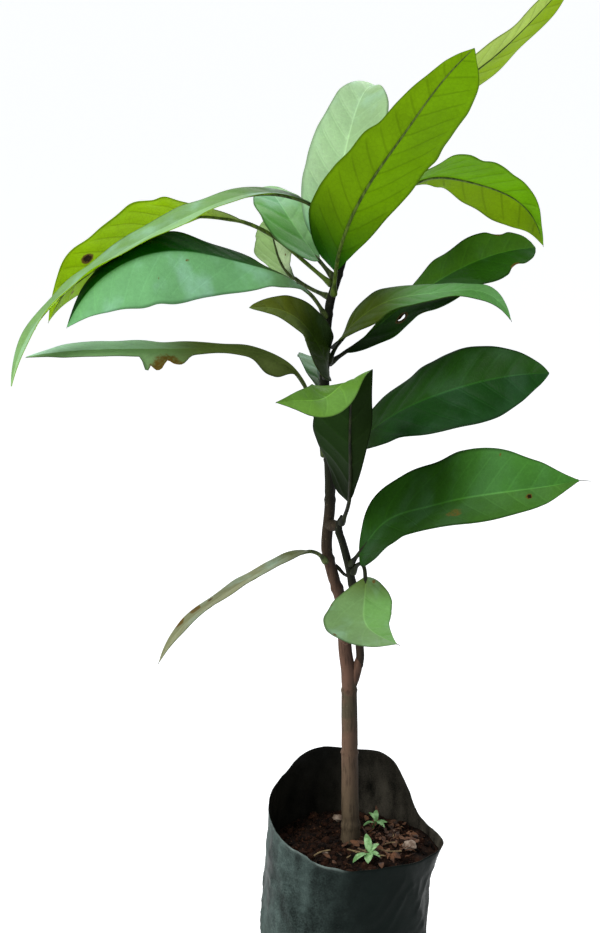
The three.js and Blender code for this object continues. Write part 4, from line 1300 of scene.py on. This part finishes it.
def curled_sheet(place, bearing, rise, roll, length, width, curl, thick=0.22):
    """Points and faces of a thin pointed sheet that starts at a place and bends along its way."""
    t, u = np.meshgrid(np.linspace(0, 1, SHEET_STEPS), np.linspace(-1, 1, SHEET_LANES), indexing="ij")
    half = width / 2 * np.maximum(np.sin(np.pi * t**0.8) ** 0.7, 0.08)
    angle = np.radians(rise) - np.radians(curl) * t
    ahead, lift = (np.cumsum(way(angle), 0) * length / SHEET_STEPS for way in (np.cos, np.sin))
    side, rise_side = u * half * math.cos(roll), u * half * math.sin(roll) + 0.25 * np.abs(u) * half
    c, d = math.cos(bearing), math.sin(bearing)
    x, y, z = place
    middle = np.stack([x + ahead * c - side * d, y + ahead * d + side * c, z + lift + rise_side], -1)
    middle = middle.reshape(-1, 3)
    index = np.arange(t.size).reshape(t.shape)
    quads = grid_quads(index).reshape(-1, 4)
    edge = np.concatenate([index[:, 0], index[-1, 1:], index[-2::-1, -1], index[0, -2:0:-1]])
    after = np.roll(edge, -1)
    rim = np.stack([after + t.size, edge + t.size, edge, after], -1)
    return (np.vstack([middle + [0, 0, thick / 2], middle - [0, 0, thick / 2]]),
            np.vstack([quads[:, ::-1], quads + t.size, rim]))


def sheets(name, rows, finish):
    points, faces = zip(*(curled_sheet(*row) for row in rows))
    faces = [f + k * len(points[0]) for k, f in enumerate(faces)]
    return make_piece(name, np.vstack(points), np.vstack(faces), [finish])


# %% [markdown]
# ## Litter and straw
# Dry bits of leaf and straw lie on the real soil, most of them on the right. They could be a
# picture on the soil's surface, but low light would show that it is flat. So each flake is a
# small curled sheet, and each straw is swept along a bent line. Chance with a fixed start places
# them, so every run gives the same heap.

# %% Litter and straw
CHANCE = np.random.default_rng(20)
FLAKES, STRAWS, LITTER_REACH, STEM_ROOM = 130, 16, 33, 7


def spotted(name, pale, dark, roughness=0.8, scale=350.0):
    made, nodes = material(name)
    grain = nodes.noise(nodes.place(), scale)
    base = nodes.blend(nodes.step(grain, 0.36, 0.64), screen_colour(*dark), screen_colour(*pale))
    nodes.dress(base, roughness, 0.5, grain, 0.0003, 0.6)
    return made


def from_middle_and_stem(x, y):
    """How far a place is from the bag's middle at the soil, and from the stem."""
    return np.hypot(x - BAG_LEAN, y), np.hypot(x - STEM_FOOT[0], y)


flakes = []
while len(flakes) < FLAKES:
    x, y = CHANCE.normal(33, 11), CHANCE.normal(-4, 14)
    from_middle, from_stem = from_middle_and_stem(x, y)
    if from_middle < LITTER_REACH and from_stem > STEM_ROOM:
        turn, rise, roll = CHANCE.uniform(0, 2 * np.pi), CHANCE.uniform(-5, 22), CHANCE.uniform(-0.9, 0.9)
        length, width, curl = CHANCE.uniform(2.5, 7), CHANCE.uniform(1.0, 3.0), CHANCE.uniform(-40, 80)
        flakes.append(((x, y, soil_top(x, y) + 0.9), turn, rise, roll, length, width, curl))
litter = sheets("leaf_litter", flakes, spotted("dry_leaf", (112, 72, 44), (46, 27, 17), scale=180.0))

straw_skin = spotted("straw_skin", (150, 128, 88), (92, 70, 46))
straws = []
for k in range(STRAWS):
    x, y = CHANCE.normal(30, 11), CHANCE.normal(-6, 12)
    turn, length = CHANCE.uniform(0, np.pi), CHANCE.uniform(6, 15)
    from_middle, from_stem = from_middle_and_stem(x, y)
    if from_middle > LITTER_REACH - 2 - length / 2 or from_stem < STEM_ROOM + length / 2:
        continue
    run = np.linspace(-0.5, 0.5, 7) * length
    bend = 1.2 * np.sin(np.linspace(0, np.pi, 7))
    c, d = math.cos(turn), math.sin(turn)
    route = np.stack([x + run * c - bend * d, y + run * d + bend * c, soil_top(x, y) + 1.6 + run * 0.06], -1)
    radii = np.full(7, CHANCE.uniform(0.25, 0.45))
    straws.append(swept("straw_%d" % k, route, radii, straw_skin, 6, 0.08, 700.0))
straw = join("straw", straws)
print("flakes:", len(flakes), "straws:", len(straws))

# %% [markdown]
# ## Stones
# A few pale stones lie half sunk in the real soil. They could be scattered like the crumbs, but
# the photograph shows where the large ones are, so each has its place in a list. A stone is a
# rough ball, a little flattened, with soft dents.

# %% Stones
STONES = [(7.9, 24.5, 2.3), (41.5, -10.5, 3.1), (30.0, -15.0, 1.3), (2.0, -14.0, 1.1), (36.0, 8.0, 1.4)]
FLATTENED = np.array([1.15, 0.95, 0.75])


def stone(name, x, y, radius, finish, seed):
    """A rough ball, a little flattened, half sunk in the soil."""
    bpy.ops.mesh.primitive_ico_sphere_add(subdivisions=4, radius=radius * MM)
    ball = bpy.context.object
    ball.name = ball.data.name = name
    middle = [x, y, soil_top(x, y) + radius * 0.45]
    for vertex in ball.data.vertices:
        way = np.array(vertex.co) / (radius * MM)
        a, b, c = way
        dent = 0.12 * math.sin(3.1 * a + seed) * math.cos(2.7 * b) + 0.08 * math.sin(6 * c + 4 * a)
        vertex.co = (way * (1 + dent) * radius * FLATTENED + middle) * MM
    ball.data.shade_smooth()
    ball.data.materials.append(finish)
    return ball


pale_stone = spotted("pale_stone", (176, 156, 138), (120, 98, 82), 0.7)
stones = join("stones", [stone("stone_%d" % k, *row, pale_stone, k) for k, row in enumerate(STONES)])

# %% [markdown]
# ## The two weeds
# Two weeds have come up beside the real stem, each a short stalk with a few pale green leaflets.
# The stalk could be a plain cylinder, but the tree that sweeps the stems gives it a bend and a
# taper as well. The leaflets are curled sheets again, turned round the stalk by a list.

# %% The two weeds
SPROUTS = [  # place, height, and each leaflet's bearing, rise, length and width
    ((25.0, 13.0), 5.0,
     [(15, 35, 6.5, 3.0), (80, 72, 7.5, 2.8), (200, 20, 6.5, 3.2), (330, 5, 6.0, 2.6), (130, 55, 5.5, 2.4)]),
    ((20.8, -21.5), 2.5,
     [(100, 80, 10.5, 3.8), (40, 55, 7.5, 3.0), (215, 14, 10.0, 4.6), (345, 12, 6.0, 3.4), (265, 2, 7.0, 4.4)]),
]
weed_stalk = spotted("weed_stalk", (112, 150, 84), (84, 118, 60), 0.5)
weed_parts, leaflets = [], []
climb = np.linspace(0, 1, 8)
for k, ((x, y), tall, blades) in enumerate(SPROUTS):
    ground = soil_top(x, y)
    route = np.stack([x + 1.2 * climb**2, y + 0 * climb, ground - 0.5 + tall * climb], -1)
    weed_parts.append(swept("weed_%d" % k, route, 0.55 - 0.2 * climb, weed_stalk, 8, 0.05, 500.0))
    for j, (bearing, rise, length, width) in enumerate(blades):
        start = (x + 1.1, y, ground + tall * (0.45 + 0.13 * j))
        leaflets.append((start, math.radians(bearing), rise, 0.15, length, width, 55, 0.25))
weed_leaf = spotted("weed_leaf", (166, 212, 146), (108, 158, 90), 0.5)
weed_parts.append(sheets("weed_leaflets", leaflets, weed_leaf))
weeds = join("weeds", weed_parts)
for piece in (litter, straw, stones, weeds):
    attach(piece, "root")
    print(piece.name, "faces:", len(piece.data.polygons))
